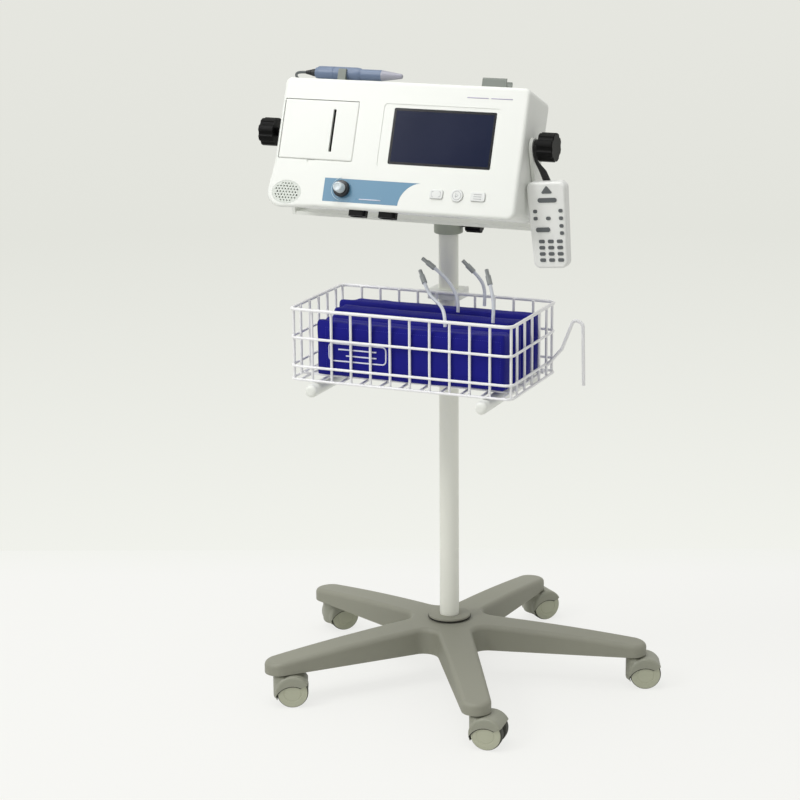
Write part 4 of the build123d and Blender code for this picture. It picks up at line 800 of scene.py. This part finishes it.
def stitch(number, name, way):
    """A row of stitches round the cuff's outer panel, a little in from its edges."""
    low, high = (Vector(corner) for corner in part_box(f"cuff_{number}"))
    outside = low.y - CLEAR_OF_CUFF if way > 0 else high.y + CLEAR_OF_CUFF
    left = low.x + SEAM_INSET + max(step[0] for step in fold_steps[number]) * MM * (way < 0)
    right, bottom, top = high.x - SEAM_INSET, low.z + SEAM_INSET, high.z - SEAM_INSET
    path = along([(left, bottom), (right, bottom), (right, top), (left, top), (left, bottom)], STITCH_LENGTH)
    spots = laid_on(cuffs[number], path, outside, way)
    lines = [spots[i:i + 2] for i in range(0, len(spots) - 1, 2)]
    ride_with(strokes(name, lines, THREAD_D, thread_blue), "root", "cuff_fabric")


stitch(1, "front_stitches", 1)
stitch(4, "back_stitches", -1)

# a plain printed outline with two bars inside it, on the front cuff
PRINT_X, PRINT_Z, PRINT_STROKE = -60, 559, 2.3
print_lines = [[(x * MM, z * MM) for x, z in pill(PRINT_X, PRINT_Z, 90, 26, 6)]]
print_lines += [[((PRINT_X + left) * MM, (PRINT_Z + up) * MM), ((PRINT_X + right) * MM, (PRINT_Z + up) * MM)]
                for left, right, up in ((-30, 30, 4.5), (-18, 30, -4.5))]
before_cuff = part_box("cuff_1")[0][1] - CLEAR_OF_CUFF
printed = [laid_on(cuffs[1], along(line, 2 * MM), before_cuff, 1) for line in print_lines]
ride_with(strokes("cuff_print", printed, PRINT_STROKE * MM, print_white), "root", "cuff_fabric")


# ---------------- screen, knob, keys and print on the console ----------------
SCREEN_W, SCREEN_H, SCREEN_T = 155 * MM, 81 * MM, 1.8 * MM
SCREEN_BORDER, SCREEN_STEP, SCREEN_CORNER = 3.4 * MM, 0.15 * MM, 2 * MM
pane = begin_piece("screen_pane", "cube", size=1, location=(0, 0, -SCREEN_T / 2))
pane.scale = (SCREEN_W, SCREEN_H, SCREEN_T)
bpy.ops.object.transform_apply(location=True, rotation=True, scale=True)
pick_faces(pane, lambda centre, normal: normal.z > 0.9)
bpy.ops.mesh.inset(thickness=SCREEN_BORDER, depth=0)
bpy.ops.mesh.inset(thickness=SCREEN_STEP, depth=-SCREEN_STEP)
pick_edges(pane, lambda a, b: abs(a.z - b.z) > SCREEN_T / 2)
bpy.ops.mesh.bevel(offset=SCREEN_CORNER, segments=5, affect="EDGES")
finish_piece(pane, on_face(65.7, 15.6, 0.8), screen_border, screen_dark)
for face in pane.data.polygons:
    if face.area > 0.7 * SCREEN_W * SCREEN_H and (face.normal + INTO).length < 0.1:
        face.material_index = 1
ride_with(pane, "console", "screen", "display_window")

KNOB_U, KNOB_V = -75.9, -65.3
KNOB_PLACE = on_face(KNOB_U, KNOB_V, -0.3)
SKIRT_R, SKIRT_HEIGHT, FLUTE_PITCH, FLUTE_WIDTH = 12, 6, radians(20), radians(9)


def in_flute(centre, normal):
    """Whether a face of the skirt's side lies in one of its flutes."""
    return abs(normal.z) < 0.1 and Vector((1, 0)).angle_signed(centre.xy) % FLUTE_PITCH < FLUTE_WIDTH


skirt = begin_piece("knob_skirt", "cylinder", vertices=72, radius=SKIRT_R * MM, depth=SKIRT_HEIGHT * MM,
                    location=(0, 0, SKIRT_HEIGHT / 2 * MM))
round_faces(skirt, lambda centre, normal: normal.z > 0.9, 1.4, 4)
pick_faces(skirt, in_flute)
bpy.ops.mesh.inset(use_individual=False, thickness=0.4 * MM, depth=-0.6 * MM)
finish_piece(skirt, KNOB_PLACE, knob_black)
ride_with(skirt, "control_knob", "knob_gray", "control_knob")
cap_profile = [
    (7.6, 5.5), (7.5, 6.2), (7.1, 15.6), (6.7, 17.2), (5.9, 18.0), (5.2, 18.1), (4.6, 17.6), (3.0, 17.3),
    (0.01, 17.2),
]
ride_with(turned("knob_top", cap_profile, KNOB_PLACE, knob_cap), "control_knob", "knob_gray")


def printed_on(name, lines, width, material, body, slot, lift=0.0):
    """Raised print on the console's face, from lines of millimetre points across and up it."""
    piece = strokes(name, [[at(u, v, -lift) for u, v in line] for line in lines], width * MM, material)
    ride_with(piece, body, slot)


knob_arc, panel_bar = [ring(KNOB_U, KNOB_V, 16.4, 16.4, 100, 260)], [[(-47.5, -78.6), (-14.5, -78.6)]]
name_bars = [[(96, 76), (128, 76)], [(132, 76), (164, 76)]]
printed_on("panel_print", knob_arc, 0.9, ink_light, "console", "panel_blue")
printed_on("panel_bar", panel_bar, 1.6, print_white, "console", "panel_blue")
printed_on("name_bars", name_bars, 1.3, ink_lilac, "console", "case_white")
# generic signs: two brackets, a ring with a triangle, three bars
KEY_V, KEY_TOP = -64.3, 2.2
low_v, high_v = KEY_V - 3.5, KEY_V + 3.5
triangle = [(98.6, KEY_V - 2.6), (102.9, KEY_V), (98.6, KEY_V + 2.6), (98.6, KEY_V - 2.6)]
key_marks = {
    "key_left": [[(tip, high_v), (back, high_v), (back, low_v), (tip, low_v)]
                 for tip, back in ((65.1, 62.6), (73.1, 75.6))],
    "key_middle": [ring(100.3, KEY_V, 6.2, 6.2), triangle],
    "key_right": [[(125.5, KEY_V + step), (137.5, KEY_V + step)] for step in (3.3, 0, -3.3)],
}
for key, mark in key_marks.items():
    printed_on(f"{key}_mark", mark, 0.7, ink_gray, key, "key_gray", KEY_TOP)

# ---------------- probe ----------------
probe_profile = [
    (0.01, -16.0), (2.1, -16.0), (2.6, -15.7), (2.8, -14.6), (2.3, -14.2), (2.3, -13.6), (3.1, -13.2),
    (3.3, -11.6), (2.7, -11.2), (2.7, -10.6), (3.8, -10.2), (4.1, -8.2), (3.3, -7.8), (3.3, -7.2),
    (4.7, -6.8), (5.9, -0.4), (5.9, 0.0), (6.4, 0.2), (7.7, 0.9), (8.0, 2.0), (8.0, 3.8), (9.1, 4.2),
    (9.8, 5.4), (10.0, 8.0), (10.0, 29.5), (9.6, 29.8), (9.6, 30.6), (10.0, 30.9), (10.0, 64.0),
    (9.7, 68.0), (8.8, 71.2), (8.1, 72.2), (8.0, 73.5), (8.0, 103.4), (7.7, 103.8), (7.7, 104.4),
    (7.9, 104.9), (7.4, 107.5), (3.9, 132.0), (3.4, 134.6), (2.6, 135.6), (1.4, 135.95), (0.01, 136.0),
]
probe_start, TIP_START = at(-150, 105.8, 18), 104.6 * MM
probe_place = Matrix.Translation(probe_start) @ Matrix.Rotation(radians(90), 4, "Y")
probe = turned("pencil_probe", probe_profile, probe_place, boot_black, probe_shell, probe_tip)
paint(probe, 1, lambda centre, normal: centre.x > probe_start.x)
paint(probe, 2, lambda centre, normal: centre.x > probe_start.x + TIP_START)
ride_with(probe, "probe", "probe_blue", "probe")

# ---------------- strap of the remote control ----------------
# a sewn loop on the right tilt knob's neck, and a band that runs down behind the remote control
LOOP_PLACE = Vector((195.3, -158.5, 868.6)) * MM
LOOP_IN, LOOP_OUT, LOOP_W, BAND_NEAR, BAND_FAR = 7.1, 10.0, 7.2, -168.6, -167.1
BAND_SEAM, BAND_STITCH, BAND_THREAD_D = 1.6, 1.5, 0.4
loop_profile = [(LOOP_IN, 0), (LOOP_OUT - 0.5, 0), (LOOP_OUT, 0.5), (LOOP_OUT, LOOP_W - 0.5),
                (LOOP_OUT - 0.5, LOOP_W), (LOOP_IN, LOOP_W), (LOOP_IN, 0)]
loop_place = Matrix.Translation(LOOP_PLACE) @ Matrix.Rotation(radians(90), 4, "Y")
loop = turned("strap_loop", loop_profile, loop_place)
band_left = [(195.4, 869), (195.4, 858), (197.5, 849), (204.5, 836), (210.5, 822), (213.5, 801.5)]
band_right = [(226.0, 801.5), (222.0, 823), (215.0, 837), (205.5, 846.5), (202.6, 850.5), (202.4, 857),
              (202.4, 869)]
band = slab("strap_band", band_left + band_right, BAND_NEAR, BAND_FAR)
round_faces(band, lambda centre, normal: abs(normal.y) > 0.9, 0.35, 2)
strap = finish_piece(joined([band, loop], "knob_strap"), Matrix(), strap_cloth)
ride_with(strap, "remote", "strap_black", "remote_strap")
sewing = []
for side, inward in ((band_left, BAND_SEAM), (band_right[::-1], -BAND_SEAM)):
    spots = along([((x + inward) * MM, z * MM) for x, z in side[1:]], BAND_STITCH * MM)
    sewing += [[(x, BAND_NEAR * MM, z) for x, z in spots[i:i + 2]] for i in range(0, len(spots) - 1, 2)]
ride_with(strokes("strap_stitches", sewing, BAND_THREAD_D * MM, cable_gray), "remote", "strap_black")

# ---------------- plate on the case's back ----------------
PLATE_W, PLATE_H, PLATE_T, PLATE_CORNER = 52 * MM, 30 * MM, 0.4 * MM, 2 * MM
plate = begin_piece("rating_plate", "cube", size=1, location=(0, 0, -PLATE_T / 2))
plate.scale = (PLATE_W, PLATE_H, PLATE_T)
bpy.ops.object.transform_apply(location=True, rotation=True, scale=True)
pick_edges(plate, lambda a, b: abs(a.z - b.z) > PLATE_T / 4)
bpy.ops.mesh.bevel(offset=PLATE_CORNER, segments=4, affect="EDGES")
finish_piece(plate, on_face(60, -30, 85), plate_silver)
ride_with(plate, "console", "case_white")
plate_lines = [[(40, -20), (68, -20)], [(40, -25), (80, -25)], [(40, -30), (76, -30)], [(40, -35), (80, -35)],
               [(40, -40), (60, -40)]]
printed_on("plate_lines", plate_lines, 0.6, ink_gray, "console", "case_white", -85.4)

# ---------------- studio ----------------
FLOOR_SIZE, FLOOR_EDGE, FADE_START, FLOOR_GLOW, WORLD_LIGHT = 14, 0.62, 0.48, 0.8, 0.51


def put_stage():
    """A pale floor whose far edge meets a pale background, a little behind the stand."""
    bpy.ops.object.select_all(action="DESELECT")
    bpy.ops.mesh.primitive_plane_add(size=FLOOR_SIZE)
    floor = bpy.context.active_object
    floor.name = "studio_floor"
    floor.data.transform(Matrix.Rotation(VIEW_ACROSS, 4, "Z")
                         @ Matrix.Translation((0, FLOOR_EDGE - FLOOR_SIZE / 2, 0)))
    material, tree, surface = new_material("studio_floor")
    feed(tree, surface, {"Base Color": srgb(232, 232, 228), "Roughness": 0.9})
    seen = add_node(tree, "ShaderNodeLightPath").outputs["Is Camera Ray"]
    share = add_math(tree, "MULTIPLY", seen, FLOOR_GLOW)
    # the floor's tone fades to the background's at its far edge
    place = add_node(tree, "ShaderNodeTexCoord").outputs["Object"]
    turn = add_node(tree, "ShaderNodeVectorRotate", {"Vector": place, "Angle": -VIEW_ACROSS},
                    rotation_type="Z_AXIS")
    depth = add_node(tree, "ShaderNodeSeparateXYZ", {0: turn.outputs[0]}).outputs["Y"]
    fade = add_node(tree, "ShaderNodeMapRange", {"Value": depth, "From Min": FADE_START,
                                                 "From Max": FLOOR_EDGE})
    tone = add_node(tree, "ShaderNodeMix", {"Factor": fade.outputs[0], 6: srgb(250, 250, 247),
                                            7: srgb(247, 248, 243)}, data_type="RGBA")
    glow = add_node(tree, "ShaderNodeEmission", {"Color": tone.outputs[2]})
    mix = add_node(tree, "ShaderNodeMixShader", {0: share, 1: surface.outputs[0], 2: glow.outputs[0]})
    feed(tree, tree.nodes["Material Output"], {"Surface": mix.outputs[0]})
    floor.data.materials.append(material)


put_stage()


def put_world():
    """An even light on the object, and a pale background for the camera and for reflections."""
    world = bpy.data.worlds.new("studio")
    bpy.context.scene.world = world
    world.use_nodes = True
    tree = world.node_tree
    tree.nodes.clear()
    ray = add_node(tree, "ShaderNodeLightPath").outputs
    seen = add_math(tree, "MAXIMUM", ray["Is Camera Ray"], ray["Is Glossy Ray"])
    seen = add_math(tree, "MAXIMUM", seen, ray["Is Transmission Ray"])
    # the background pales toward the floor's edge and, less, toward the top
    place = add_node(tree, "ShaderNodeTexCoord").outputs["Generated"]
    up = add_node(tree, "ShaderNodeSeparateXYZ", {0: place}).outputs["Z"]
    height = add_node(tree, "ShaderNodeMapRange", {"Value": up, "From Min": -0.33, "From Max": 0.0})
    tones = add_node(tree, "ShaderNodeValToRGB", {"Fac": height.outputs[0]})
    ramp = tones.color_ramp
    ramp.elements[0].color = srgb(243, 244, 238)
    ramp.elements[1].color = srgb(232, 232, 226)
    ramp.elements.new(0.45).color = srgb(227, 228, 221)
    shown = add_node(tree, "ShaderNodeBackground", {"Color": tones.outputs["Color"]})
    lit = add_node(tree, "ShaderNodeBackground", {"Color": (1, 1, 0.985, 1), "Strength": WORLD_LIGHT})
    mix = add_node(tree, "ShaderNodeMixShader", {0: seen, 1: lit.outputs[0], 2: shown.outputs[0]})
    add_node(tree, "ShaderNodeOutputWorld", {0: mix.outputs[0]})


put_world()


def put_lamp(name, place, aim, size, power):
    """A round lamp that looks from its place at the aim."""
    lamp = bpy.data.lights.new(name, "AREA")
    lamp.shape, lamp.size, lamp.energy = "DISK", size, power
    holder = bpy.data.objects.new(name, lamp)
    bpy.context.scene.collection.objects.link(holder)
    holder.location = place
    holder.rotation_euler = (Vector(aim) - Vector(place)).to_track_quat("-Z", "Y").to_euler()


put_lamp("overhead", (-0.3, -0.6, 3.2), (0, 0, 0.4), 2.2, 36)
put_lamp("front_left", (-2.0, -2.5, 3.0), (0, 0, 0.5), 1.4, 44)

bpy.context.scene.view_settings.view_transform = "Standard"

for piece in nodes.values():
    smooth(piece)
